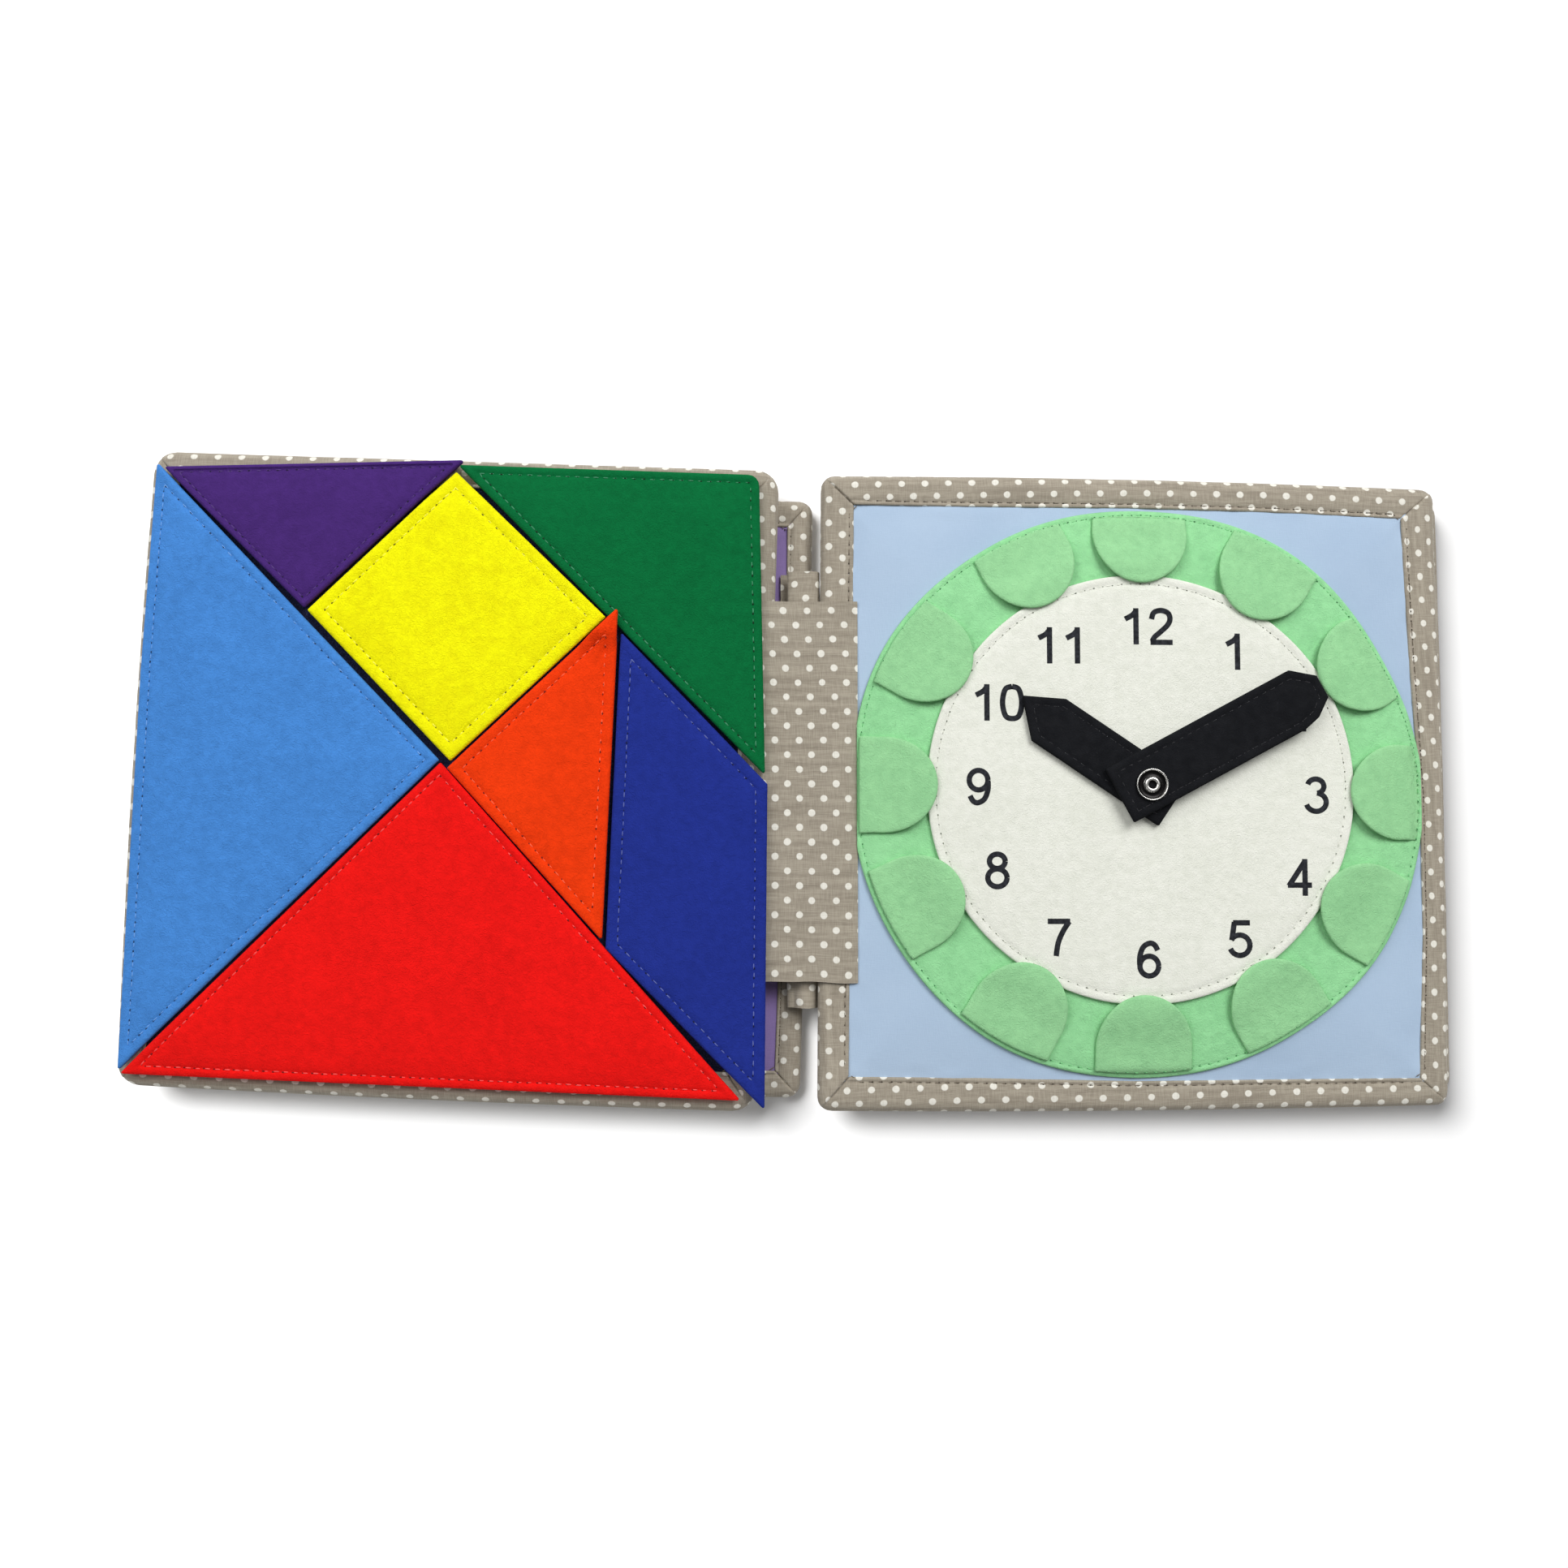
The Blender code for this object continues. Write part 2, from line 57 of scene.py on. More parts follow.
class Value:
    """A number, colour or vector that varies over a surface; sums on it add Math nodes."""

    def __init__(self, tree, socket):
        self.tree = tree
        self.socket = socket

    def node(self, kind, settings, inputs, output=0):
        """Any other node: its settings first, then the values or links of its sockets."""
        made = self.tree.nodes.new(kind)
        for name, setting in settings.items():
            setattr(made, name, setting)
        for key, value in inputs.items():
            if isinstance(value, Value):
                self.tree.links.new(value.socket, made.inputs[key])
            else:
                made.inputs[key].default_value = value
        return Value(self.tree, made.outputs[output])

    def sum(self, operation, *values):
        return self.node("ShaderNodeMath", {"operation": operation}, dict(enumerate(values)))

    def __add__(self, other):
        return self.sum("ADD", self, other)

    def __sub__(self, other):
        return self.sum("SUBTRACT", self, other)

    def __mul__(self, other):
        return self.sum("MULTIPLY", self, other)

    def __truediv__(self, other):
        return self.sum("DIVIDE", self, other)

    def __pow__(self, other):
        return self.sum("POWER", self, other)

    def __rsub__(self, other):
        return self.sum("SUBTRACT", other, self)

    def step(self, low, high):
        """0 below low, 1 above high, smooth between."""
        settings = {"interpolation_type": "SMOOTHSTEP"}
        inputs = {"Value": self, "From Min": low, "From Max": high}
        return self.node("ShaderNodeMapRange", settings, inputs)

    def between(self, low, high):
        """The colour low where this value is 0 and high where it is 1."""
        return self.node("ShaderNodeMix", {"data_type": "RGBA"}, {0: self, 6: low, 7: high}, 2)

    def speckle(self, scale, detail=2.0, stretch=(1, 1, 1)):
        """Noise between 0 and 1 on this place, with so many features a metre."""
        settings = {"operation": "MULTIPLY"}
        place = self.node("ShaderNodeVectorMath", settings, {0: self, 1: stretch})
        inputs = {"Vector": place, "Scale": scale, "Detail": detail}
        return self.node("ShaderNodeTexNoise", {}, inputs)

    def axis(self, index):
        return self.node("ShaderNodeSeparateXYZ", {}, {0: self}, index)


class Look:
    """A material with the constants of its shader set once, and its patterned sockets linked."""

    def __init__(self, name, constants):
        self.material = bpy.data.materials.new(name)
        self.material.use_nodes = True
        self.shader = self.material.node_tree.nodes["Principled BSDF"]
        for socket, value in constants.items():
            self.shader.inputs[socket].default_value = value
        start = Value(self.material.node_tree, None)
        self.place = start.node("ShaderNodeTexCoord", {}, {}, 3)
        self.own_map = start.node("ShaderNodeTexCoord", {}, {}, 2)

    def feed(self, socket, value):
        self.material.node_tree.links.new(value.socket, self.shader.inputs[socket])

    def relief(self, height, depth):
        """Bump of so many metres where height goes from 0 to 1."""
        inputs = {"Height": height, "Distance": depth, "Strength": 1.0}
        self.feed("Normal", height.node("ShaderNodeBump", {}, inputs))


def tone(red, green, blue, light=1.0):
    """A colour from its 0 to 255 values, made darker or lighter by a share."""
    color = []
    for level in (red, green, blue):
        share = max(level / 255, 0)
        linear = share / 12.92 if share < 0.04045 else ((share + 0.055) / 1.055) ** 2.4
        color.append(min(linear * light, 1.0))
    return (*color, 1.0)


def flat_look(name, roughness, color):
    """A plain material of one colour."""
    return Look(name, {"Roughness": roughness, "Base Color": color}).material


def cotton(name, color, shade):
    """Plain woven cotton: fine threads both ways and faint cloudy shading."""
    look = Look(name, {"Roughness": 0.92, "Specular IOR Level": 0.25, "Sheen Weight": 0.12})
    across = look.place.speckle(1500, 1.0, (2.0, 0.3, 1))
    along = look.place.speckle(1500, 1.0, (0.3, 2.0, 1))
    weave = (across + along) * 0.5
    cloud = look.place.speckle(28, 3.0)
    look.feed("Base Color", (weave * 0.3 + cloud * 0.7).step(0.25, 0.75).between(shade, color))
    look.relief(weave, 0.00006)
    return look.material


def loop_cloth(name, color, tip):
    """Napped loop cloth, which the hook patches grip: tiny tangled loops."""
    look = Look(name, {"Roughness": 1.0, "Specular IOR Level": 0.1, "Sheen Weight": 0.35})
    loops = look.place.speckle(1900, 4.0)
    look.feed("Base Color", loops.step(0.35, 0.8).between(color, tip))
    look.relief(loops, 0.0005)
    return look.material


def smooth(share):
    share = min(max(share, 0.0), 1.0)
    return share * share * (3 - 2 * share)


leaf_turns = {"leaf_1": -1.15, "leaf_2": -1.94, "leaf_3": 0.0, "leaf_4": 0.0}
leaf_place = {}
leaf_half = {}
for leaf, turn in leaf_turns.items():
    low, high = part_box(leaf + "_wadding")
    middle = Matrix.Translation((low + high) / 2)
    leaf_place[leaf] = middle @ Matrix.Rotation(math.radians(turn), 4, "Z")
    leaf_half[leaf] = 0.1 if leaf in ("leaf_2", "leaf_3") else 0.097
spine = leaf_place["leaf_3"] @ Matrix.Translation((-0.108, 0, 0))

pad_crown = 0.0045
pad_rim = 0.0026
pad_tuck = 0.0008
pad_flat_edge = 0.0086
pad_rise = 0.03
pad_inset = 0.0042
inner_bow = 0.0007


def page_height(leaf, x, y):
    """Height of a leaf's page over the leaf's middle plane, at a place on the leaf."""
    half = leaf_half[leaf]
    inset = min(
        half - abs(x) + inner_bow * (1 - (y / half) ** 2),
        half - abs(y) + inner_bow * (1 - (x / half) ** 2),
    )
    share = min(max((inset - pad_flat_edge) / pad_rise, 0.0), 1.0)
    under_binding = pad_tuck * smooth((0.0078 - inset) / 0.0025)
    return pad_rim - under_binding + (pad_crown - pad_rim) * (1 - (1 - share) ** 2)


def grid_steps(half):
    """Places across a page, close together near its edge where it is drawn down."""
    edge = [half - pad_inset - 0.0009 * step for step in range(14)]
    inner = edge[-1]
    middle = [inner * (1 - 2 * step / 60) for step in range(1, 60)]
    return sorted(edge + middle + [-place for place in edge])


def page_pad(name, leaf, over, look, nodes, seed):
    """One half of a padded leaf, closed underneath by a flat middle."""
    half = leaf_half[leaf]
    steps = grid_steps(half)
    work = bmesh.new()
    rows = []
    for v in steps:
        row = []
        for u in steps:
            x = u + inner_bow * (u / half) * (1 - (v / half) ** 2)
            y = v + inner_bow * (v / half) * (1 - (u / half) ** 2)
            height = page_height(leaf, x, y)
            inset = half - max(abs(x), abs(y))
            run = Vector((x, y, seed)) * 160
            pucker = noise.noise(run) * 0.00035 * math.exp(-((inset - 0.0105) / 0.0042) ** 2)
            cloudy = (noise.noise(Vector((x, y, seed + 5)) * 38) - 0.6) * 0.00022
            row.append(work.verts.new((x, y, height + min(pucker + cloudy, 0.0001))))
        rows.append(row)
    for lower, upper in zip(rows, rows[1:]):
        for index in range(len(steps) - 1):
            work.faces.new((lower[index], lower[index + 1], upper[index + 1], upper[index]))
    right = [row[-1] for row in rows[1:]]
    left = [row[0] for row in rows[-2:0:-1]]
    rim = rows[0] + right + rows[-1][-2::-1] + left
    foot = [work.verts.new((corner.co.x, corner.co.y, 0.00005)) for corner in rim]
    for index, corner in enumerate(rim):
        work.faces.new((rim[index - 1], foot[index - 1], foot[index], corner))
    work.faces.new(list(reversed(foot)))
    turn = Matrix.Rotation(math.pi, 4, "X") if over else Matrix()
    return finish_piece(name, work, leaf_place[leaf] @ turn, look, leaf, nodes)


def finish_piece(name, work, place, look, body, nodes, slot=None):
    """Turn a bmesh into a piece at its place, riding on a body and standing for its nodes."""
    bmesh.ops.recalc_face_normals(work, faces=work.faces)
    mesh = bpy.data.meshes.new(name)
    work.to_mesh(mesh)
    work.free()
    mesh.transform(place)
    mesh.polygons.foreach_set("use_smooth", [True] * len(mesh.polygons))
    mesh.materials.append(look)
    piece = bpy.data.objects.new(name, mesh)
    bpy.context.scene.collection.objects.link(piece)
    if body:
        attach(piece, body)
    if nodes:
        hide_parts(*nodes)
    return piece


pages = {
    "leaf_1": ("inner_page", "outer_cover"),
    "leaf_2": ("tangram_page", "back_page"),
    "leaf_3": ("clock_page", "back_page"),
    "leaf_4": ("inner_page", "outer_cover"),
}
page_looks = {
    "inner_page": cotton("lavender cotton", tone(150, 128, 182), tone(132, 112, 164)),
    "outer_cover": cotton("plain cotton", tone(205, 200, 188), tone(190, 184, 172)),
    "tangram_page": loop_cloth("navy loop cloth", tone(15, 17, 44), tone(40, 48, 86)),
    "back_page": cotton("plain cotton lining", tone(205, 200, 188), tone(190, 184, 172)),
    "clock_page": cotton("light blue cotton", tone(179, 200, 223), tone(168, 190, 215)),
}
for number, (leaf, (top, bottom)) in enumerate(pages.items()):
    halves = (
        (top, False, (leaf + "_wadding", leaf + "_" + top), number),
        (bottom, True, (leaf + "_" + bottom,), number + 10),
    )
    for page, over, nodes, seed in halves:
        pad = page_pad(leaf + "_" + page + "_pad", leaf, over, page_looks[page], nodes, seed)
        page if page in ("tangram_page", "clock_page", "inner_page") else "plain_page"

# Bindings. A strip of taupe linen printed with small off-white dots is folded round the edge of
# each leaf, mitred at the corners and sewn through with one line of matching thread near its inner
# edge. It is soft and slightly full, and it bows outward along each side.


def dotted_linen(name, pitch, row):
    """Taupe linen printed with rows of dots, laid by the piece's own map in metres."""
    look = Look(name, {"Roughness": 0.95, "Specular IOR Level": 0.2, "Sheen Weight": 0.15})
    u = look.own_map.axis(0)
    v = look.own_map.axis(1)
    waver = look.place.speckle(260, 1.0)
    nearest = None
    for shift in (0.0, 0.5):
        across = u.sum("FRACT", u / pitch + shift) * pitch - pitch / 2
        along = v.sum("FRACT", v / (2 * row) + shift) * (2 * row) - row
        reach = (across * across + along * along) ** 0.5
        nearest = reach if nearest is None else nearest.sum("MINIMUM", nearest, reach)
    dot_inner, dot_outer = 0.00093, 0.00125
    dot = 1 - (nearest + (waver - 0.5) * 0.0004).step(dot_inner, dot_outer)
    stretch = (0.3, 4.0, 1.0)
    warp = look.own_map.speckle(700, 2.0, stretch)
    weft = look.own_map.speckle(700, 2.0, (4.0, 0.3, 1.0))
    weave = (warp + weft) * 0.5
    slub = look.own_map.speckle(130, 2.0, stretch)
    taupes = (tone(140, 131, 117), tone(178, 169, 153))
    ground = (weave * 0.6 + slub * 0.4).step(0.3, 0.7).between(*taupes)
    print_ink = weave.step(0.2, 0.6).between(tone(214, 210, 196), tone(236, 233, 223))
    look.feed("Base Color", dot.between(ground, print_ink))
    look.relief(weave + dot * 0.2, 0.00018)
    return look.material


binding_linen = dotted_linen("dotted taupe linen", 0.0076, 0.0044)
strip_linen = dotted_linen("dotted strip linen", 0.00775, 0.00462)
thread_look = flat_look("taupe thread", 0.8, tone(118, 108, 94))

# The binding's section: share of its width in from the edge, height over the leaf's middle
binding_section = (
    (1.0, 0.0026), (0.985, 0.0030), (0.96, 0.00318), (0.92, 0.0032), (0.885, 0.00308),
    (0.86, 0.00295), (0.835, 0.00305), (0.78, 0.0032), (0.68, 0.0033), (0.5, 0.0034),
    (0.36, 0.00335), (0.24, 0.00315), (0.14, 0.00275), (0.065, 0.002), (0.015, 0.0011), (0.0, 0.0),
)
# Corners of the outer and inner edges, from the top right round to the bottom right
outer_corners = {
    "leaf_1": ((0.097, 0.0972), (-0.097, 0.097), (-0.097, -0.097), (0.0968, -0.0975)),
    "leaf_2": ((0.1005, 0.1022), (-0.1, 0.1004), (-0.0999, -0.1009), (0.1, -0.1031)),
    "leaf_3": ((0.1, 0.0984), (-0.0997, 0.1017), (-0.1009, -0.1017), (0.1, -0.1002)),
    "leaf_4": ((0.097, 0.097), (-0.097, 0.097), (-0.097, -0.097), (0.097, -0.097)),
}
inner_corners = {
    "leaf_1": ((0.0887, 0.088), (-0.0878, 0.0878), (-0.0878, -0.0887), (0.0884, -0.0887)),
    "leaf_2": ((0.0908, 0.0922), (-0.0905, 0.0905), (-0.0905, -0.0905), (0.0905, -0.0905)),
    "leaf_3": ((0.0883, 0.0882), (-0.0891, 0.0917), (-0.0911, -0.0906), (0.0903, -0.0913)),
    "leaf_4": ((0.0875, 0.0875), (-0.0875, 0.0875), (-0.0875, -0.0875), (0.0875, -0.0875)),
}
corner_radius = {"leaf_1": 0.0045, "leaf_2": 0.0075, "leaf_3": 0.0045, "leaf_4": 0.0045}

# How far the sides bow outward, in millimetres: right, top, left, bottom. Outer edges at their
# middle, inner ones at each quarter.
outer_bows = {
    "leaf_1": (0.4, 0.4, 0.4, 0.4),
    "leaf_2": (0.3, 0.0, 1.1, 0.6),
    "leaf_3": (0.7, 1.1, 0.0, 0.8),
    "leaf_4": (0.4, 0.4, 0.4, 0.4),
}
even_bows = ((0.5, 0.7, 0.5),) * 4
inner_bows = {
    "leaf_1": even_bows,
    "leaf_2": even_bows,
    "leaf_3": ((2.6, 3.2, 1.2), (1.05, 1.15, 0.45), (0.0, 0.0, 0.0), (0.35, 1.2, 0.55)),
    "leaf_4": even_bows,
}
stitch_pitch = 0.003
seam_across = 0.86
seam_pull = 0.00022
soft_wave = 0.00022
fine_wave = 0.00007
mitre_depth = 0.0006
mitre_lap = 0.0004

# How the printed cloth was laid on each side (right, top, left, bottom): where its rows start from
# the inner edge in millimetres, their drift along the side and sag at its middle, the share that
# the fold takes them up, their stretch along the side, and where the dots start along it
cloth_laid = {
    "leaf_1": (
        (1.8, 0.0096, 0, 1.04, 1.049, 2.2), (0.7, 0, 0, 1.15, 1, 7.3),
        (2.2, 0, 0, 1, 1, 0), (8.1, 0, 0, 1.04, 1, 6.6),
    ),
    "leaf_2": (
        (3.56, 0.05, 0, 1.1, 1, 1.91), (7.83, 0.0102, 0, 1.04, 1.011, 3.63),
        (8.0, 0, 0, 1.04, 0.977, 1.7), (3.95, -0.004, 0, 1.25, 0.964, 0.2),
    ),
    "leaf_3": (
        (4.5, 0.0221, 0.88, 1.247, 0.996, 3.18), (8.6, 0.0181, -1.11, 1.057, 1.005, 1.89),
        (1.05, 0.01, 0, 1, 0.994, 1.6), (6.67, 0.0306, 0.71, 1.042, 0.988, 6.94),
    ),
    "leaf_4": (
        (1.2, 0.004, 0, 1, 1, 0), (3.6, 0, 0, 1, 1, 0),
        (2.6, 0.004, 0, 1, 1, 0), (0.5, -0.006, 0, 1, 1, 0),
    ),
}


def side_steps():
    """Shares along one side of a leaf from corner to corner, close together at both mitres."""
    near = [0.0, 0.0008, 0.0017, 0.003, 0.006, 0.011, 0.018, 0.028]
    middle = [near[-1] + (1 - 2 * near[-1]) * step / 132 for step in range(1, 132)]
    return near + middle + [1 - share for share in reversed(near)]


def between(steps, share):
    """A value along a side from its values at even steps."""
    place = min(share * (len(steps) - 1), len(steps) - 1.000001)
    first = int(place)
    return steps[first] + (steps[first + 1] - steps[first]) * (place - first)


def binding_point(leaf, quarter, share, across):
    """A place on one side of a leaf's binding, from its outer edge (across 0) to its inner (1)."""
    half = leaf_half[leaf]
    radius = corner_radius[leaf]
    straight = half - radius
    run = (2 * share - 1) * (straight + radius * math.pi / 4)
    if abs(run) <= straight:
        outer = Vector((half + outer_bows[leaf][quarter] / 1000 * (1 - (run / straight) ** 2), run))
    else:
        angle = (abs(run) - straight) / radius
        outer = Vector((straight + radius * math.cos(angle), straight + radius * math.sin(angle)))
        outer.y = math.copysign(outer.y, run)
    turn = Matrix.Rotation(quarter * math.pi / 2, 2)
    outer = turn @ outer
    right = (1 + outer.x / half) / 2
    up = (1 + outer.y / half) / 2
    top_right, top_left, low_left, low_right = (Vector(corner) for corner in outer_corners[leaf])
    outer = top_left.lerp(top_right, right) * up + low_left.lerp(low_right, right) * (1 - up)
    start = Vector(inner_corners[leaf][(quarter + 3) % 4])
    end = Vector(inner_corners[leaf][quarter])
    bow = between((0, *inner_bows[leaf][quarter], 0), share) / 1000
    inner = start.lerp(end, share) + turn @ Vector((bow, 0))
    return outer.lerp(inner, across)


def thicken(piece, thickness, offset):
    """Give a piece of cloth or print its thickness."""
    shell = piece.modifiers.new("thickness", "SOLIDIFY")
    shell.thickness = thickness
    shell.offset = offset
    bake_modifiers(piece)


def build_binding(leaf):
    """The folded and mitred strip round one leaf, with its printed cloth laid on."""
    work = bmesh.new()
    own_map = work.loops.layers.uv.new("cloth")
    section = [(across, height, 1) for across, height in binding_section]
    section += [(across, height, -1) for across, height in reversed(binding_section[:-1])]
    half = leaf_half[leaf]
    seed = int(leaf[-1]) * 7.3
    for quarter in range(4):
        turn_back = Matrix.Rotation(-quarter * math.pi / 2, 2)
        start_row, drift, sag, taken_up, stretch, slide = cloth_laid[leaf][quarter]
        columns = []
        for share in side_steps():
            mitre = min(share, 1 - share) * 2 * half
            outer = binding_point(leaf, quarter, share, 0)
            width = (outer - binding_point(leaf, quarter, share, 1)).length
            spent = 0.0
            before = None
            column = []
            for across, height, side in section:
                flat = binding_point(leaf, quarter, share, across)
                wave = noise.noise(Vector((flat.x * 60, flat.y * 60, seed + side)))
                fine = noise.noise(Vector((flat.x * 190, flat.y * 190, seed + side)))
                full = height + (wave * soft_wave + fine * fine_wave) * (1 if across < 0.95 else 0.3)
                pull = math.exp(-((across - seam_across) * width / 0.0006) ** 2)
                own = turn_back @ flat
                stitch = 0.5 + 0.5 * math.cos(2 * math.pi * own.y / stitch_pitch)
                full -= seam_pull * pull * stitch
                notch = math.exp(-((mitre / 0.0003) ** 2))
                full -= mitre_depth * notch * smooth((across - 0.2) / 0.15)
                if share > 0.5:
                    full += mitre_lap * math.exp(-mitre / 0.008) * smooth(mitre / 0.0004)
                point = Vector((own.x, side * max(full, 0.0)))
                if before is not None:
                    spent += (point - before).length
                before = point
                corner = work.verts.new((flat.x, flat.y, point.y))
                row_sag = (start_row + sag * (1 - (own.y / 0.09) ** 2)) / 1000
                place = (own.y * stretch + slide / 1000, spent * taken_up + own.y * drift + row_sag)
                column.append((corner, place))
            columns.append(column)
        for column, after in zip(columns, columns[1:]):
            for index in range(len(section) - 1):
                corners = (column[index], after[index], after[index + 1], column[index + 1])
                face = work.faces.new([corner for corner, place in corners])
                for loop, (corner, place) in zip(face.loops, corners):
                    loop[own_map].uv = place
    bmesh.ops.remove_doubles(work, verts=work.verts, dist=0.00001)
    name = leaf + "_dotted_binding"
    binding = finish_piece(name, work, leaf_place[leaf], binding_linen, None, ())
    thicken(binding, 0.0006, -1)
    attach(binding, leaf)
    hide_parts(leaf + "_binding")


def bake_modifiers(piece):
    """Keep what the modifiers make as the piece's own mesh."""
    bpy.context.view_layer.update()
    shown = piece.evaluated_get(bpy.context.evaluated_depsgraph_get())
    shaped = bpy.data.meshes.new_from_object(shown)
    piece.modifiers.clear()
    piece.data = shaped
    shaped.set_sharp_from_angle(angle=math.radians(62))


def stitch_tree():
    """Running stitches along an edge path: thread lying on top, and between the stitches small grains
    at the needle holes in the colour given for them, mostly a painted shade darker than the cloth.
    """
    tree = bpy.data.node_groups.new("running stitches", "GeometryNodeTree")
    tree.is_modifier = True
    asked = (
        ("Geometry", "Geometry", None), ("Pitch", "Float", 0.003), ("Length", "Float", 0.0018),
        ("Thickness", "Float", 0.0004), ("Hole", "Float", 0.0003), ("Wander", "Float", 0.0001),
        ("Thread", "Material", None), ("Shadow", "Material", None),
    )
    for name, kind, value in asked:
        socket = tree.interface.new_socket(name, in_out="INPUT", socket_type="NodeSocket" + kind)
        if value:
            socket.default_value = value
    tree.interface.new_socket("Geometry", in_out="OUTPUT", socket_type="NodeSocketGeometry")
    given = tree.nodes.new("NodeGroupInput")

    def add(kind, settings, inputs, output=0):
        return Value(tree, given.outputs["Geometry"]).node(kind, settings, inputs, output)

    def take(name):
        return Value(tree, given.outputs[name])

    path = add("GeometryNodeMeshToCurve", {}, {"Mesh": take("Geometry")})
    joined = tree.nodes.new("GeometryNodeJoinGeometry")
    thread_size = {0: take("Thickness"), 1: take("Thickness"), 2: take("Length")}
    hole_size = {0: take("Hole"), 1: take("Hole"), 2: take("Hole") * 1.5}
    kinds = (("Thread", 0.25, 3, 5, thread_size), ("Shadow", 0.75, 11, 17, hole_size))
    for part, first, stray_seed, size_seed, dimensions in kinds:
        trim = {"Curve": path, 4: take("Pitch") * first, 5: 100.0}
        run = add("GeometryNodeTrimCurve", {"mode": "LENGTH"}, trim)
        even = {"Curve": run, "Length": take("Pitch")}
        spots = add("GeometryNodeCurveToPoints", {"mode": "LENGTH"}, even)
        turn = Value(tree, spots.socket.node.outputs["Rotation"])
        spread = {0: (-1.0, -1.0, -0.3), 1: (1.0, 1.0, 0.3), "Seed": stray_seed}
        stray = add("FunctionNodeRandomValue", {"data_type": "FLOAT_VECTOR"}, spread)
        wander = {0: stray, "Scale": take("Wander")}
        stray = add("ShaderNodeVectorMath", {"operation": "SCALE"}, wander)
        moved = add("GeometryNodeSetPosition", {}, {"Geometry": spots, "Offset": stray})
        grain = add("GeometryNodeMeshUVSphere", {}, {"Segments": 6, "Rings": 4, "Radius": 0.5})
        size = add("ShaderNodeCombineXYZ", {}, dimensions)
        limits = {2: 0.75, 3: 1.2, "Seed": size_seed}
        factor = add("FunctionNodeRandomValue", {"data_type": "FLOAT"}, limits, 1)
        size = add("ShaderNodeVectorMath", {"operation": "SCALE"}, {0: size, "Scale": factor})
        inputs = {"Points": moved, "Instance": grain, "Rotation": turn, "Scale": size}
        laid = add("GeometryNodeInstanceOnPoints", {}, inputs)
        solid = add("GeometryNodeRealizeInstances", {}, {0: laid})
        dressed = add("GeometryNodeSetMaterial", {}, {"Geometry": solid, "Material": take(part)})
        tree.links.new(dressed.socket, joined.inputs[0])
    shaded = add("GeometryNodeSetShadeSmooth", {}, {"Geometry": Value(tree, joined.outputs[0])})
    out = tree.nodes.new("NodeGroupOutput")
    tree.links.new(shaded.socket, out.inputs[0])
    return tree


stitches = stitch_tree()


def sew(name, path, place, body, looks, sizes):
    """A closed line of stitches along a path on a body."""
    mesh = bpy.data.meshes.new(name)
    edges = [(index, index + 1) for index in range(len(path) - 1)] + [(len(path) - 1, 0)]
    mesh.from_pydata(path, edges, [])
    mesh.transform(place)
    line = bpy.data.objects.new(name, mesh)
    bpy.context.scene.collection.objects.link(line)
    modifier = line.modifiers.new("stitches", "NODES")
    modifier.node_group = stitches
    given = dict(zip(("Thread", "Shadow"), looks), **sizes)
    for socket in stitches.interface.items_tree:
        if socket.in_out == "INPUT" and socket.name in given:
            modifier[socket.identifier] = given[socket.name]
    bake_modifiers(line)
    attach(line, body)


# Painted shade: the binding's needle holes are dark taupe grains that stand for the shade in them.
needle_hole_shade = flat_look("needle hole shade", 1.0, tone(72, 64, 54))
binding_sewing = {"Pitch": stitch_pitch, "Length": 0.0019, "Thickness": 0.00032, "Hole": 0.0004}
for leaf in leaf_turns:
    build_binding(leaf)
    for face, side in (("top", 1), ("back", -1)):
        path = []
        for quarter in range(4):
            for step in range(120):
                flat = binding_point(leaf, quarter, 0.022 + 0.956 * step / 119, seam_across)
                path.append((flat.x, flat.y, side * 0.00296))
        name = leaf + "_binding_" + face + "_stitches"
        sew(name, path, leaf_place[leaf], leaf, (thread_look, needle_hole_shade), binding_sewing)

# Tangram. Seven pieces of thick felt, two layers sewn together near the edge with matching thread,
# so that the seam lies in a slight groove. Each one carries a square of dark hook tape behind it,
# which holds it to the navy loop page. They were cut by hand, and lie a little out of square.


def felt(name, color, shade, lint, relief=0.00035):
    """Pressed felt: matted fibres, faintly mottled, with a few paler ones."""
    look = Look(name, {"Roughness": 1.0, "Specular IOR Level": 0.1})
    mat = look.place.speckle(330, 6.0)
    cloud = look.place.speckle(60, 3.0)
    swirl = {"Vector": look.place, "Scale": 800.0, "Detail": 3.0, "Distortion": 2.5}
    fibre = look.place.node("ShaderNodeTexNoise", {}, swirl)
    body = (mat * 0.65 + cloud * 0.35).step(0.25, 0.75).between(shade, color)
    stray = fibre.step(0.62, 0.78) * 0.3
    look.feed("Base Color", stray.between(body, lint))
    look.relief(mat * 0.7 + fibre, relief)
    return look.material


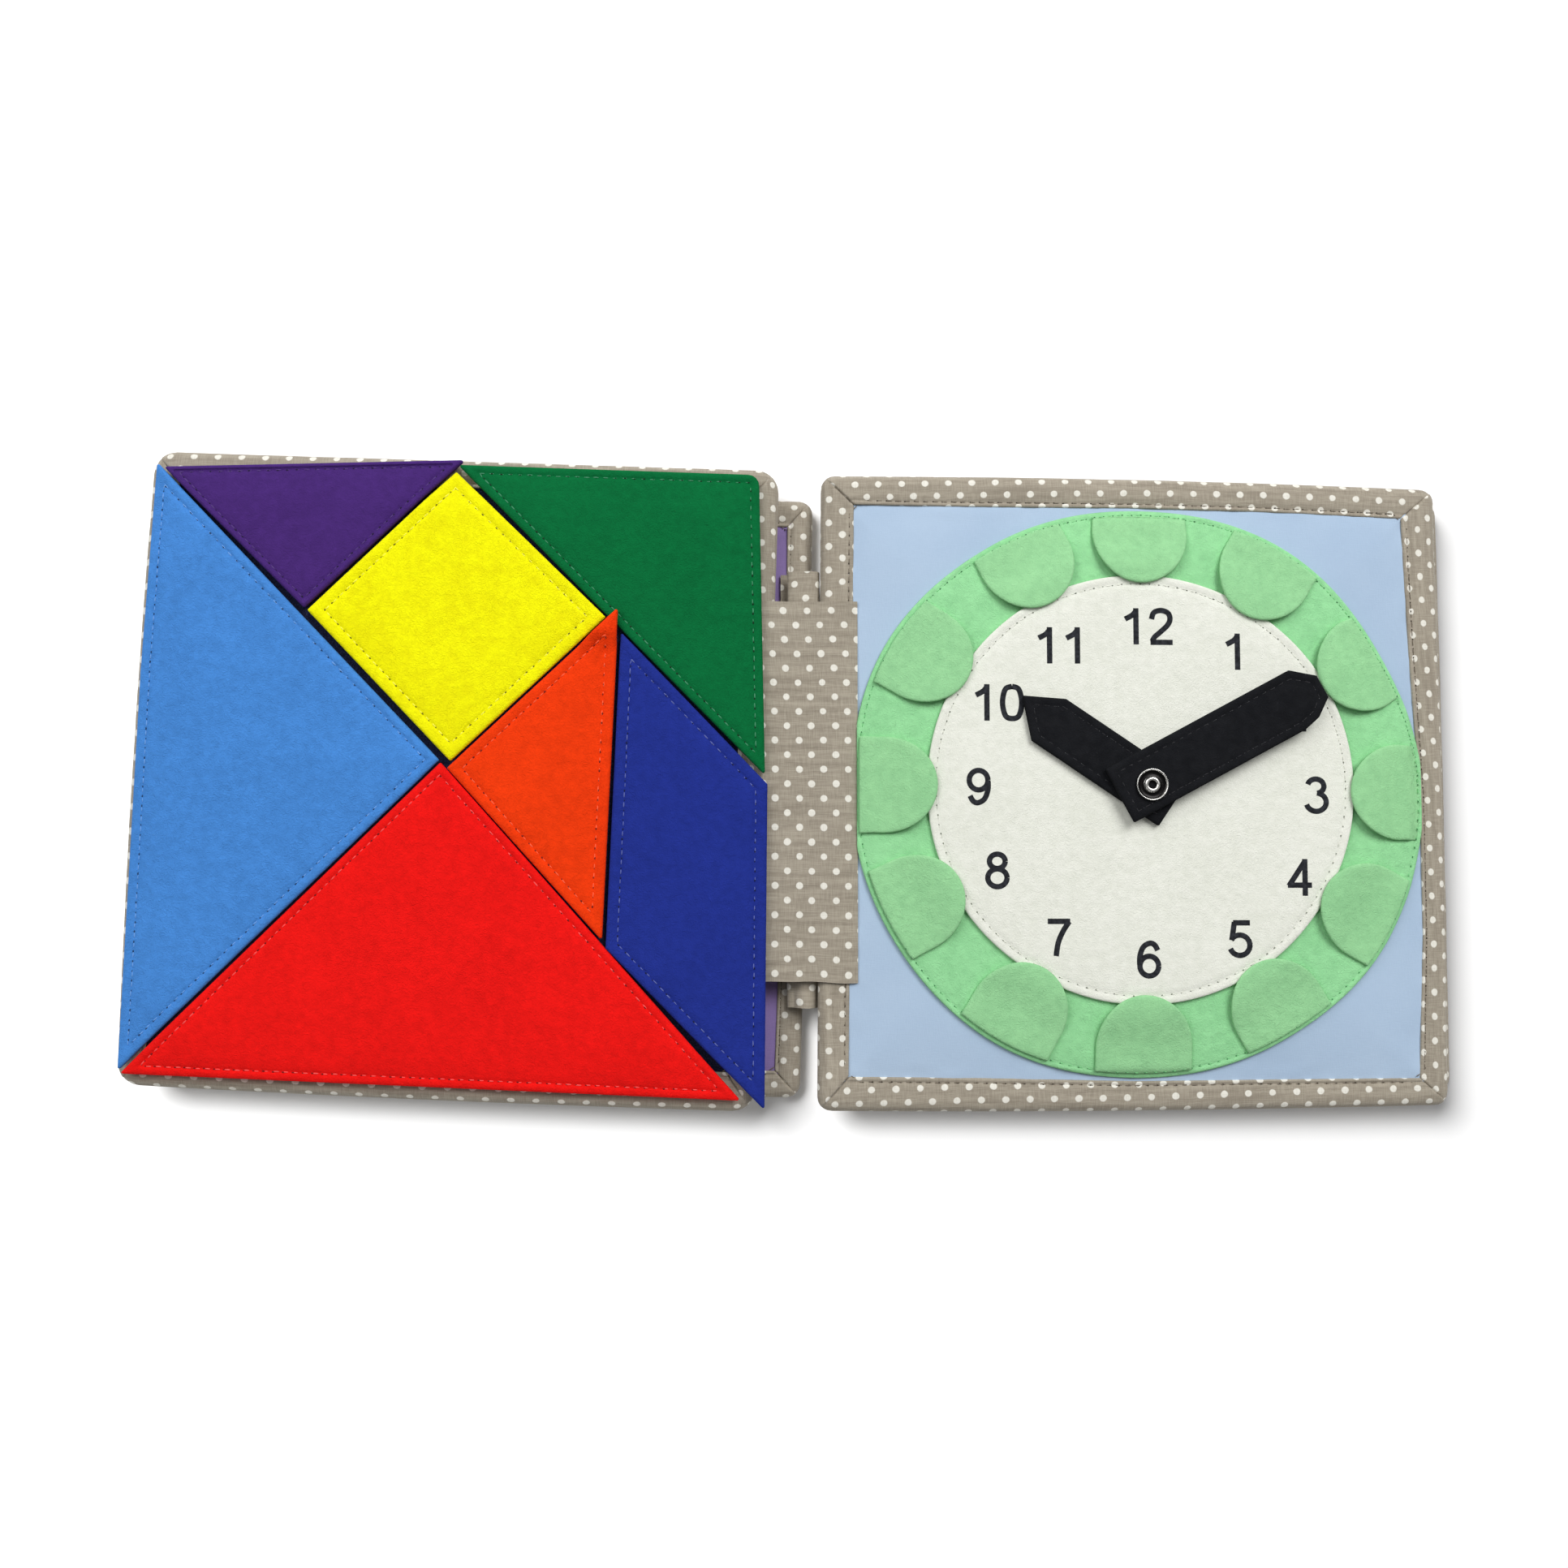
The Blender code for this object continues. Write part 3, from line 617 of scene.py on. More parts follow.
def line_ring(corners, radii, inset, spacing):
    """An outline with rounded corners, set in from the cut edge, in the same steps everywhere."""
    count = len(corners)
    lines = []
    for index in range(count):
        start = corners[index]
        end = corners[(index + 1) % count]
        along = (end - start).normalized()
        inward = Vector((-along.y, along.x))
        lines.append((start + inward * inset, along, (end - start).length))
    points = []
    meets = []
    for index in range(count):
        here, along, _ = lines[index]
        before, past, _ = lines[index - 1]
        cross = past.x * along.y - past.y * along.x
        gap = here - before
        meets.append(before + past * ((gap.x * along.y - gap.y * along.x) / cross))
    arcs = []
    for index in range(count):
        corner = meets[index]
        rounding = max(radii[index] - inset, 0.0004)
        back = -lines[index - 1][1]
        ahead = lines[index][1]
        half_angle = back.angle(ahead) / 2
        reach = rounding / math.tan(half_angle)
        middle = corner + (back + ahead).normalized() * rounding / math.sin(half_angle)
        start = corner + back * reach - middle
        sweep = start.angle_signed(corner + ahead * reach - middle)
        arcs.append([middle + Matrix.Rotation(-sweep * step / 4, 2) @ start for step in range(5)])
    for index in range(count):
        points += arcs[index]
        start = arcs[index][-1]
        end = arcs[(index + 1) % count][0]
        steps = max(int(lines[index][2] / spacing), 2)
        points += [start.lerp(end, step / steps) for step in range(1, steps)]
    return points


def slab(outline, profile, middle, settle, thickness, lean=None):
    """A closed felt slab from its outline at each inset, at that inset's share of the thickness."""
    work = bmesh.new()
    half = thickness / 2
    top = [(outline(inset), level) for inset, level in profile]
    inner, full = top[-1]
    for share in (0.8, 0.6, 0.4, 0.2, 0.06):
        top.append(([middle + (point - middle) * share for point in inner], full))
    layers = []
    for sign in (1, -1):
        for ring, level in top[::-1] if sign == 1 else top[1:]:
            height = half * level if sign == 1 else -half * min(level + 0.1, 1.0)
            layer = []
            for point in ring:
                lift = height * (lean(point) if lean else 1.0)
                layer.append(work.verts.new((point.x, point.y, lift + settle(point))))
            layers.append(layer)
    for lower, upper in zip(layers, layers[1:]):
        for index in range(len(inner)):
            work.faces.new((lower[index - 1], lower[index], upper[index], upper[index - 1]))
    for layer in (layers[0], layers[-1]):
        work.faces.new(layer)
    return work


def middle_height(node, leaf):
    """Height of a solid's middle over its leaf's middle plane."""
    low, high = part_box(node)
    return (leaf_place[leaf].inverted() @ ((low + high) / 2)).z


def felt_profile(seam):
    """Insets of a sewn felt edge, each with its share of the half thickness."""
    return (
        (0.0, 0.0), (0.00006, 0.4), (0.0003, 0.7), (0.0008, 0.88), (0.0013, 0.95),
        (seam - 0.0009, 0.94), (seam - 0.0004, 0.8), (seam, 0.62), (seam + 0.0004, 0.8),
        (seam + 0.0012, 0.94), (seam + 0.0035, 1.0),
    )


# Colour, how far in the seam lies, how far its thread is lightened as a painted highlight, and
# corners as shares of half the square
tangram_half = 0.097
cut_rounding = 0.0005
tangram = {
    "light_blue": (
        (74, 140, 218), 0.0031, 0.2, ((-0.997, 0.984), (-1.009, 0.3), (-1.004, -0.987), (-0.03, 0.042)),
    ),
    "red": ((247, 24, 21), 0.0028, 0.28, ((-0.026, 0.035), (-0.9975, -0.995), (0.984, -1.018))),
    "purple": ((75, 44, 120), 0.0022, 0.06, ((-0.975, 0.97), (-0.491, 0.52), (0.004, 1.032))),
    "yellow": (
        (255, 247, 10), 0.004, 0.3, ((-0.023, 0.991), (-0.481, 0.514), (0.005, 0.039), (0.487, 0.528)),
    ),
    "green": ((8, 110, 58), 0.0028, 0.25, ((-0.02, 1.015), (1.024, 0.031), (0.969, 1.021))),
    "orange": ((250, 62, 12), 0.0035, 0.2, ((0.528, 0.558), (-0.005, 0.017), (0.519, -0.522))),
    "royal_blue": (
        (36, 52, 145), 0.0037, 0.28, ((0.537, 0.482), (0.531, -0.546), (1.061, -1.046), (1.033, 0.003)),
    ),
}


def tangram_settle(base, tip_lies_over):
    """The felts droop where the page falls away; the orange one's tip lies over the green one."""
    def settle(point):
        reach = max(abs(point.x), abs(point.y))
        tip = 0.0027 * smooth((point.y - 0.04) / 0.0075) if tip_lies_over else 0.0
        return base + tip - 0.0011 * smooth((reach - 0.084) / 0.014)
    return settle


hook_tape = Look("hook tape", {"Roughness": 0.7, "Base Color": tone(24, 26, 46)})
hook_bumps = hook_tape.place.speckle(1500, 1.0)
hook_tape.feed("Base Color", hook_bumps.step(0.4, 0.7).between(tone(12, 13, 26), tone(46, 50, 78)))
hook_tape.relief(hook_bumps, 0.0006)

felt_thickness = 0.0024
tape_thickness = 0.0008
hook_half = 0.011
hook_profile = ((0.0, 0.0), (0.0001, 0.6), (0.0004, 1.0), (0.0018, 0.8), (0.0026, 1.0))
on_leaf_2 = leaf_place["leaf_2"]
for name, (color, seam_inset, thread_highlight, shares) in tangram.items():
    node = "tangram_" + name
    settle = tangram_settle(middle_height(node, "leaf_2"), name == "orange")
    corners = [Vector(corner) * tangram_half for corner in shares]
    middle = sum(corners, Vector((0, 0))) / len(corners)
    tones = [tone(*color, light) for light in (1.06, 0.86, 1.5)]
    look = felt(name.replace("_", " ") + " felt", *tones)
    radii = [cut_rounding] * len(corners)
    if name == "green":
        radii[2] = 0.0036

    def felt_outline(inset, spacing=0.00075):
        return line_ring(corners, radii, inset, spacing)

    work = slab(felt_outline, felt_profile(seam_inset), middle, settle, felt_thickness)
    finish_piece(node + "_felt", work, on_leaf_2, look, node, (node,), "felt_" + name)
    seam = felt_outline(seam_inset, 0.0015)
    path = [(point.x, point.y, settle(point) + 0.00082) for point in seam]
    # Painted highlight: each thread is lightened towards white by its share, for the shine on the
    # thread.
    pale = [level + (250 - level) * thread_highlight for level in color]
    thread = flat_look(name + " thread", 0.85, tone(*pale))
    # Painted shade: the needle holes are grains of the felt's colour at a fifth of its light.
    dark = flat_look(name + " holes", 1.0, tone(*color, 0.22))
    sizes = {"Pitch": 0.003, "Length": 0.0017, "Thickness": 0.0004, "Hole": 0.0005}
    sew(node + "_stitches", path, on_leaf_2, node, (thread, dark), sizes)

    low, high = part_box(node + "_hook_patch")
    tape_middle = on_leaf_2.inverted() @ ((low + high) / 2)
    square = ((-1, -1), (1, -1), (1, 1), (-1, 1))
    patch = [tape_middle.xy + hook_half * Vector(corner) for corner in square]

    def tape_outline(inset):
        return line_ring(patch, [0.001] * 4, inset, 0.0015)

    level = tape_middle.z
    work = slab(tape_outline, hook_profile, tape_middle.xy, lambda point: level, tape_thickness)
    nodes = (node + "_hook_patch",)
    tape = hook_tape.material
    finish_piece(node + "_hook_tape", work, on_leaf_2, tape, node, nodes, "hook_patch")

# Clock face. A ring of mint felt is sewn to the page, with a white felt dial over its middle. Both
# are cut by hand, so their edges waver, and both are sewn close to the edge. The numerals are
# printed.
ring_middle = Vector((0.0007, -0.0006))
ring_radius = 0.0913
ring_waver = (
    -0.0006, 0.0007, -0.0009, 0.0016, 0.0012, -0.0005, -0.0008, 0.0004, -0.0004, -0.0003, 0.0013,
    -0.0001,
)
dial_middle = Vector((0.0014, 0.0003))
dial_radius = 0.068
leaf_3 = leaf_place["leaf_3"]


def waver_at(angle, sectors):
    """How far a hand-cut edge lies in or out, joined smoothly between its sectors from the top."""
    share = (math.pi / 2 - angle) / (2 * math.pi) * len(sectors)
    first = math.floor(share)
    blend = smooth(share - first)
    return sectors[first % len(sectors)] * (1 - blend) + sectors[(first + 1) % len(sectors)] * blend


def round_ring(middle, radius, inset, count, sectors, opening=None):
    """A hand-cut circle, tucked in where the page's opening cuts it off."""
    points = []
    for step in range(count):
        angle = 2 * math.pi * step / count
        reach = radius + waver_at(angle, sectors) - inset
        point = middle + Vector((math.cos(angle), math.sin(angle))) * reach
        if opening:
            left, right, bottom, top = opening
            point.x = min(max(point.x, left), right)
            point.y = min(max(point.y, bottom), top)
        points.append(point)
    return points


def page_lean(point):
    """Share of its full thickness that felt keeps near the seam round the page."""
    inset = 0.1 - max(abs(point.x), abs(point.y))
    return 0.35 + 0.65 * smooth((inset - 0.0085) / 0.004)


opening = (-0.0884, 0.0928, -0.0924, 0.0908)


def ring_settle(point):
    """Middle height of the ring, lying on the page."""
    lift = page_height("leaf_3", point.x, point.y)
    return lift + 0.0002 + 0.0006 * page_lean(point)


felt_sheet = 0.0012
ring_seam = 0.0019
dial_seam = 0.0028
mint = felt(
    "mint felt", tone(158, 226, 164, 1.02), tone(147, 215, 154, 0.95), tone(190, 236, 196), 0.00028
)
disc_profile = (
    (0.0, 0.0), (0.0001, 0.5), (0.0004, 0.85), (0.001, 1.0), (0.0022, 0.85), (dial_seam, 0.5),
    (0.0034, 0.85), (0.005, 1.0), (0.012, 1.0), (0.02, 1.0),
)
ring_profile = (
    (0.0, 0.0), (0.0001, 0.5), (0.0004, 0.85), (0.0009, 1.0), (0.0014, 0.85), (ring_seam, 0.6),
    (0.0024, 0.85), (0.0032, 1.0), (0.012, 1.0), (0.02, 1.0),
)
dial_waver = (
    0.0001, -0.0002, 0.0002, 0.0, -0.0002, 0.0001, 0.0002, -0.0001, 0.0001, -0.0001, 0.0, 0.0002,
)


def ring_outline(inset):
    return round_ring(ring_middle, ring_radius, inset, 480, ring_waver, opening)


def dial_outline(inset, count=420):
    return round_ring(dial_middle, dial_radius, inset, count, dial_waver)


work = slab(ring_outline, ring_profile, ring_middle, ring_settle, felt_sheet, page_lean)
finish_piece("mint_ring", work, leaf_3, mint, "leaf_3", ("clock_ring",), "felt_ring")

dial_height = middle_height("clock_dial", "leaf_3")
white = felt("white felt", tone(240, 241, 231), tone(228, 230, 218), tone(250, 250, 244), 0.00022)
work = slab(dial_outline, disc_profile, dial_middle, lambda point: dial_height, felt_sheet)
finish_piece("white_dial", work, leaf_3, white, "leaf_3", ("clock_dial",), "felt_dial")
dial_thread = flat_look("dial thread", 0.85, tone(222, 224, 212))
# Painted shade: the dial's needle holes are darker grains that stand for the shade in them.
dial_hole_shade = flat_look("dial holes", 1.0, tone(120, 126, 112))
disc_sewing = {"Pitch": 0.003, "Length": 0.0013, "Thickness": 0.0003, "Hole": 0.0004}
path = [(point.x, point.y, dial_height + 0.0004) for point in dial_outline(dial_seam, 300)]
sew("white_dial_stitches", path, leaf_3, "leaf_3", (dial_thread, dial_hole_shade), disc_sewing)

# The numerals are a thin dark print on the felt, a little soft at their edges.
numeral_look = Look("printed numerals", {"Roughness": 0.85, "Specular IOR Level": 0.2})
ink = numeral_look.place.speckle(900, 3.0)
numeral_look.feed("Base Color", ink.step(0.3, 0.8).between(tone(26, 28, 32), tone(52, 54, 60)))
numeral_places = {
    12: (4.3, 51.9), 1: (31.2, 43.9), 2: (50.6, 24.4), 3: (57.1, -1.8), 4: (51.1, -27.8),
    5: (32.0, -47.2), 6: (3.1, -53.6), 7: (-25.0, -46.7), 8: (-44.5, -25.7), 9: (-50.2, 0.7),
    10: (-43.4, 27.4), 11: (-24.4, 45.7),
}
numeral_height = 0.0116
numeral_lift = 0.00063
print_thickness = 0.00004
print_layer = 0.00001
digit_step = 0.765
stroke = 0.146


def bend(points, steps=6):
    """A smooth path through points."""
    out = []
    last = len(points) - 1
    for index in range(last):
        near = [points[min(max(index + step, 0), last)] for step in (-1, 0, 1, 2)]
        for step in range(steps):
            t = step / steps
            out.append(tuple(
                0.5 * (2 * b + (c - a) * t + (2 * a - 5 * b + 4 * c - d) * t * t
                       + (3 * b - a - 3 * c + d) * t ** 3)
                for a, b, c, d in zip(*near)
            ))
    return out + [tuple(points[-1])]


def arc(middle, across, up, start, end, steps=20):
    """Part of an oval, from one angle to another."""
    x, y = middle
    turns = [math.radians(start + (end - start) * step / steps) for step in range(steps + 1)]
    return [(x + across * math.cos(turn), y + up * math.sin(turn)) for turn in turns]


# The middle line of each stroke, in shares of a numeral's height
digit_strokes = {
    "0": [bend([
        (0.385, 0.941), (0.2, 0.86), (0.122, 0.5), (0.2, 0.14), (0.385, 0.059), (0.57, 0.14),
        (0.648, 0.5), (0.57, 0.86), (0.385, 0.941),
    ])],
    "1": [[(0.46, 0.0), (0.46, 1.0)], bend([(0.47, 0.94), (0.36, 0.81), (0.16, 0.7)])],
    "2": [
        bend([
            (0.125, 0.7), (0.19, 0.88), (0.385, 0.941), (0.58, 0.87), (0.635, 0.7), (0.56, 0.53),
            (0.37, 0.35), (0.2, 0.2), (0.12, 0.05),
        ])[:-2],
        [(0.09, 0.059), (0.7, 0.059)],
    ],
    "3": [arc((0.36, 0.745), 0.225, 0.196, 165, -80), arc((0.365, 0.31), 0.275, 0.251, 85, -165)],
    "4": [
        [(0.545, 0.0), (0.545, 1.0)], [(0.07, 0.29), (0.73, 0.29)], [(0.1, 0.27), (0.555, 0.95)],
    ],
    "5": [
        [(0.2, 0.941), (0.66, 0.941)], [(0.235, 0.96), (0.16, 0.47)],
        arc((0.375, 0.335), 0.275, 0.276, 148, -160),
    ],
    "6": [
        arc((0.395, 0.325), 0.255, 0.266, 0, 360, 30),
        bend([
            (0.63, 0.75), (0.55, 0.89), (0.42, 0.941), (0.24, 0.84), (0.145, 0.6), (0.135, 0.36),
        ]),
    ],
    "7": [
        [(0.08, 0.935), (0.69, 0.935)],
        bend([(0.665, 0.93), (0.5, 0.68), (0.36, 0.36), (0.3, 0.0)]),
    ],
    "8": [
        arc((0.385, 0.747), 0.215, 0.194, 0, 360, 26), arc((0.385, 0.3), 0.262, 0.241, 0, 360, 30),
    ],
    "9": [
        arc((0.375, 0.675), 0.255, 0.266, 0, 360, 30),
        bend([
            (0.14, 0.25), (0.22, 0.11), (0.35, 0.059), (0.53, 0.16), (0.625, 0.4), (0.635, 0.64),
        ]),
    ],
}


def stroke_faces(work, line, left, scale, lift):
    """One printed stroke of even width along its middle line."""
    edges = []
    for index, (x, y) in enumerate(line):
        before = Vector(line[max(index - 1, 0)])
        after = Vector(line[min(index + 1, len(line) - 1)])
        along = (after - before).normalized()
        side = Vector((-along.y, along.x)) * stroke / 2
        pair = []
        for way in (1, -1):
            across = (x + left + way * side.x) * scale
            up = (y - 0.5 + way * side.y) * scale
            pair.append(work.verts.new((across, up, lift)))
        edges.append(pair)
    for (left_edge, right_edge), (next_left, next_right) in zip(edges, edges[1:]):
        work.faces.new((left_edge, right_edge, next_right, next_left))


for number, (x, y) in numeral_places.items():
    work = bmesh.new()
    lift = 0.0
    for place, digit in enumerate(str(number)):
        for line in digit_strokes[digit]:
            stroke_faces(work, line, place * digit_step, numeral_height, lift)
            lift += print_layer
    reach = [corner.co.x for corner in work.verts]
    bmesh.ops.translate(work, verts=work.verts, vec=(-(min(reach) + max(reach)) / 2, 0, 0))
    place = leaf_3 @ Matrix.Translation((x / 1000, y / 1000, dial_height + numeral_lift))
    numeral = finish_piece("numeral_" + str(number), work, place, numeral_look.material, None, ())
    thicken(numeral, print_thickness, 1)
    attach(numeral, "leaf_3")

# Flaps. Twelve round-nosed tabs of a thinner mint felt are laid over the ring, one at each hour,
# and caught under the ring's own seam at their outer edge; each one rises up over the dial's edge at
# its nose.
flap_middle = Vector((0.002, 0.0006))
flap_laid = (0.2, 0.4, 1.0, 0.9, -1.2, -1.1, 0.3, -0.5, 3.2, 0.5, 1.2, 3.4)
flap_out = (0.0, -0.0012, 0.0006, 0.0006, 0.0, 0.0, 0.0, 0.0, 0.0, 0.0, 0.0, 0.0)
flap_hinge = 0.0866
flap_nose = 0.0652
flap_half_width = 0.0153
flap_straight = 0.0045
flap_outer = 0.0903
flap_profile = (
    (0.0, 0.0), (0.0001, 0.5), (0.0004, 0.85), (0.001, 1.0), (0.002, 1.0), (0.0034, 1.0),
)
flap_stays = 0.0845
flap_within_ring = 0.0015
flap_within_page = 0.0006
flap_turn_strip = 0.0011
flap_mint = felt(
    "pale mint felt", tone(160, 220, 161), tone(148, 208, 151, 0.96), tone(186, 228, 186), 0.00028
)


def flap_line(inset):
    """A flap's outline with its nose pointing down and its sewn edge, an arc, on top."""
    half = flap_half_width - inset
    nose = flap_hinge - flap_nose - flap_straight - inset
    points = []
    for step in range(33):
        angle = math.pi * step / 32
        points.append(Vector((-half * math.cos(angle), -flap_straight - nose * math.sin(angle))))
    reach = flap_outer - inset
    spread = math.asin(half / reach)
    corner = reach * math.cos(spread) - flap_hinge
    for step in range(1, 7):
        points.append(Vector((half, -flap_straight + (corner + flap_straight) * step / 7)))
    for step in range(33):
        angle = spread * (1 - 2 * step / 32)
        points.append(Vector((reach * math.sin(angle), reach * math.cos(angle) - flap_hinge)))
    for step in range(1, 7):
        points.append(Vector((-half, corner - (corner + flap_straight) * step / 7)))
    return points


low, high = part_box("clock_dial")
flap_base = (leaf_3.inverted() @ high).z - 0.0006
flap_frames = []
for hour in range(1, 13):
    node = "flap_" + str(hour)
    turn = -math.radians(30 * hour + flap_laid[hour % 12])
    out = flap_hinge + flap_out[hour % 12]
    frame_of = Matrix.Translation((*flap_middle, 0)) @ Matrix.Rotation(turn, 4, "Z")
    frame_of = frame_of @ Matrix.Translation((0, out, 0))
    flap_frames.append(frame_of)

    def flap_settle(point):
        """On the ring at its sewn edge, and up over the edge of the dial at its nose."""
        over = frame_of @ Vector((point.x, point.y, 0))
        on_ring = ring_settle(over) + 0.0013 * page_lean(over)
        up = smooth((-point.y - 0.004) / 0.014)
        return on_ring * (1 - up) + (dial_height + 0.0015) * up

    def flap_lean(point):
        return page_lean(frame_of @ Vector((point.x, point.y, 0)))

    middle = Vector((0.0, -0.009))
    work = slab(flap_line, flap_profile, middle, flap_settle, felt_sheet, flap_lean)
    left, right, bottom, top = opening
    for corner in work.verts:
        over = frame_of @ corner.co
        away = Vector(over[:2]) - ring_middle
        reach = away.length
        angle = math.atan2(away.y, away.x)
        cut = flap_outer + flap_out[hour % 12] + (flap_middle - ring_middle).dot(away / reach)
        seam_reach = ring_radius + waver_at(angle, ring_waver) - flap_within_ring
        if reach > flap_stays:
            past = (reach - flap_stays) * (seam_reach - flap_stays)
            reach = flap_stays + past / (cut - flap_stays)
        over.xy = ring_middle + away.normalized() * reach
        over.x = min(max(over.x, left + flap_within_page), right - flap_within_page)
        over.y = min(max(over.y, bottom + flap_within_page), top - flap_within_page)
        corner.co = over
    piece = finish_piece(node + "_felt", work, leaf_3, flap_mint, None, (node,), "felt_flap")
    outer = leaf_3 @ frame_of @ Vector((0, flap_turn_strip, flap_base))
    inner = leaf_3 @ frame_of @ Vector((0, -flap_turn_strip, flap_base))
    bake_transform(piece)

seam_opening = [place * 0.985 for place in opening]
seam = round_ring(ring_middle, ring_radius, ring_seam, 420, ring_waver, seam_opening)
path = []
for point in seam:
    on_flap = 0.0
    for frame_of in flap_frames:
        own = frame_of.inverted() @ Vector((point.x, point.y, 0))
        if own.y > -0.02:
            on_flap = max(on_flap, smooth((flap_half_width + 0.0003 - abs(own.x)) / 0.0006))
    lift = ring_settle(point) + 0.00045 + felt_sheet * on_flap * page_lean(point)
    path.append((point.x, point.y, lift))
mint_thread = flat_look("mint thread", 0.85, tone(124, 202, 134))
# Painted shade: the ring's needle holes are darker green grains that stand for the shade in them.
mint_hole_shade = flat_look("mint holes", 1.0, tone(70, 132, 84))
sew("mint_ring_stitches", path, leaf_3, "leaf_3", (mint_thread, mint_hole_shade), disc_sewing)

# Hands. Two pointed strips of black felt in two layers, sewn near the edge, turn on one hollow
# rivet. The short one lies below the long one.

# Direction, width, offset of the middle line, length behind the pivot, where both edges turn to the
# point, reach, and the width and offset of the point
hands = {
    "hour_hand": (146.0, 0.0172, 0.0005, 0.0097, (0.0367, 0.0384), 0.0488, 0.0, -0.0012),
    "minute_hand": (28.3, 0.019, 0.0015, 0.0104, (0.0513, 0.056), 0.063, 0.0077, 0.0015),
}
blunt_turn = (0.0572, -0.0066)
pivot = Vector((0.0033, 0.0012, 0))
hand_seam = 0.0027
hand_thickness = 0.0022
hand_profile = (
    (0.0, 0.0), (0.00006, 0.4), (0.0003, 0.7), (0.0008, 0.88), (0.0016, 0.96), (0.0022, 0.85),
    (hand_seam, 0.68), (0.0032, 0.85), (0.0042, 0.97), (0.006, 1.0),
)
hand_sewing = {"Pitch": 0.003, "Length": 0.0016, "Thickness": 0.0003, "Hole": 0.0002}
black = felt("black felt", tone(30, 31, 34), tone(21, 22, 25), tone(58, 58, 62), 0.0003)
black_thread = flat_look("black thread", 0.8, tone(34, 34, 38))
black_holes = flat_look("black holes", 1.0, tone(96, 95, 98))
for node, measures in hands.items():
    direction, width, offset, tail, (near_turn, far_turn), reach, tip_width, tip_offset = measures
    near = offset - width / 2
    far = offset + width / 2
    outline = [(-tail, near), (near_turn, near)]
    if tip_width:
        outline += [blunt_turn, (reach, tip_offset - tip_width / 2)]
    outline += [(reach, tip_offset + tip_width / 2), (far_turn, far), (-tail, far)]
    corners = [Vector(corner) for corner in outline]
    radii = [cut_rounding] * len(corners)
    height = middle_height(node, "leaf_3")
    place = leaf_3 @ Matrix.Translation(pivot) @ Matrix.Rotation(math.radians(direction), 4, "Z")

    def hand_outline(inset, spacing=0.0008):
        return line_ring(corners, radii, inset, spacing)

    middle = Vector(((reach - tail) / 2, offset))
    work = slab(hand_outline, hand_profile, middle, lambda point: height, hand_thickness)
    finish_piece(node + "_felt", work, place, black, node, (node,), "felt_hand")
    path = [(point.x, point.y, height + 0.00078) for point in hand_outline(hand_seam, 0.0015)]
    sew(node + "_stitches", path, place, node, (black_thread, black_holes), hand_sewing)

# Rivet. A hollow rivet of polished nickel holds the hands: its cap is a shallow cup with a bright
# raised lip, its barrel is rolled over in the middle as a bright ring round its hole, and a plate lies
# behind the page. The cup's floor carries a painted dark reflection, and the hole a painted shade.
nickel = Look("nickel", {"Metallic": 1.0})
scuff = nickel.place.speckle(1400, 4.0)
nickel.feed("Base Color", scuff.between(tone(206, 204, 200), tone(238, 237, 234)))
nickel.feed("Roughness", scuff * 0.14 + 0.14)
low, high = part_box("rivet")
rivet_middle = (low + high) / 2
top = high.z - rivet_middle.z

capped = Look("nickel rivet", {"Metallic": 1.0})
from_middle = {0: capped.place, 1: rivet_middle}
spot = capped.place.node("ShaderNodeVectorMath", {"operation": "SUBTRACT"}, from_middle)
reach = (spot.axis(0) * spot.axis(0) + spot.axis(1) * spot.axis(1)) ** 0.5
# Painted reflection on the cup's floor and painted shade in the hole, both near black.
painted_cup_reflection = reach.step(0.00245, 0.0027) * (1 - reach.step(0.0044, 0.0046))
painted_hole_shade = 1 - reach.step(0.00115, 0.0013)
scuff = capped.place.speckle(1400, 4.0)
bright = scuff.between(tone(214, 212, 206), tone(250, 250, 248))
capped.feed("Base Color", (painted_cup_reflection + painted_hole_shade).between(bright, tone(34, 33, 33)))
capped.feed("Roughness", scuff * 0.12 + 0.2)

# Distance from the rivet's axis, and depth below its top
rivet_profile = (
    (0.00118, 0.0042), (0.00118, 0.0008), (0.00124, 0.0004), (0.00138, 0.00015), (0.0016, 0.00003),
    (0.0019, 0.0), (0.0021, 0.00006), (0.0023, 0.0002), (0.00243, 0.00045), (0.0025, 0.0008),
    (0.0028, 0.00092), (0.0036, 0.00092), (0.0041, 0.00086), (0.0044, 0.0007), (0.00455, 0.0004),
    (0.00468, 0.0002), (0.0048, 0.00014), (0.00492, 0.0002), (0.005, 0.0004), (0.005, 0.0009),
    (0.0048, 0.00102), (0.0016, 0.00102), (0.0016, 0.0042),
)
work = bmesh.new()
turns = 72
rings = []
for radius, depth in rivet_profile:
    ring = []
    for step in range(turns):
        angle = 2 * math.pi * step / turns
        round_axis = (radius * math.cos(angle), radius * math.sin(angle))
        ring.append(work.verts.new((*round_axis, top - depth)))
    rings.append(ring)
for index, ring in enumerate(rings):
    before = rings[index - 1]
    for step in range(turns):
        work.faces.new((before[step - 1], before[step], ring[step], ring[step - 1]))
place = Matrix.Translation(rivet_middle)
finish_piece("nickel_rivet", work, place, capped.material, "leaf_3", ("rivet",), "metal")
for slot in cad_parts["rivet_back_plate"].material_slots:
    slot.material = nickel.material

# Hinge strips. Three strips of the dotted linen, hemmed at both ends, join the leaves. The middle
# one lies flat over both upper leaves, sewn down inside their bindings. The other two are folded
# between an upper and a lower leaf, and the left one shows its fold as a soft bulge.

# Where one of the strips' printed dots lies, across the spine and along it
dot_across = 0.00915
dot_along = -0.00292
cloth_thickness = 0.0005


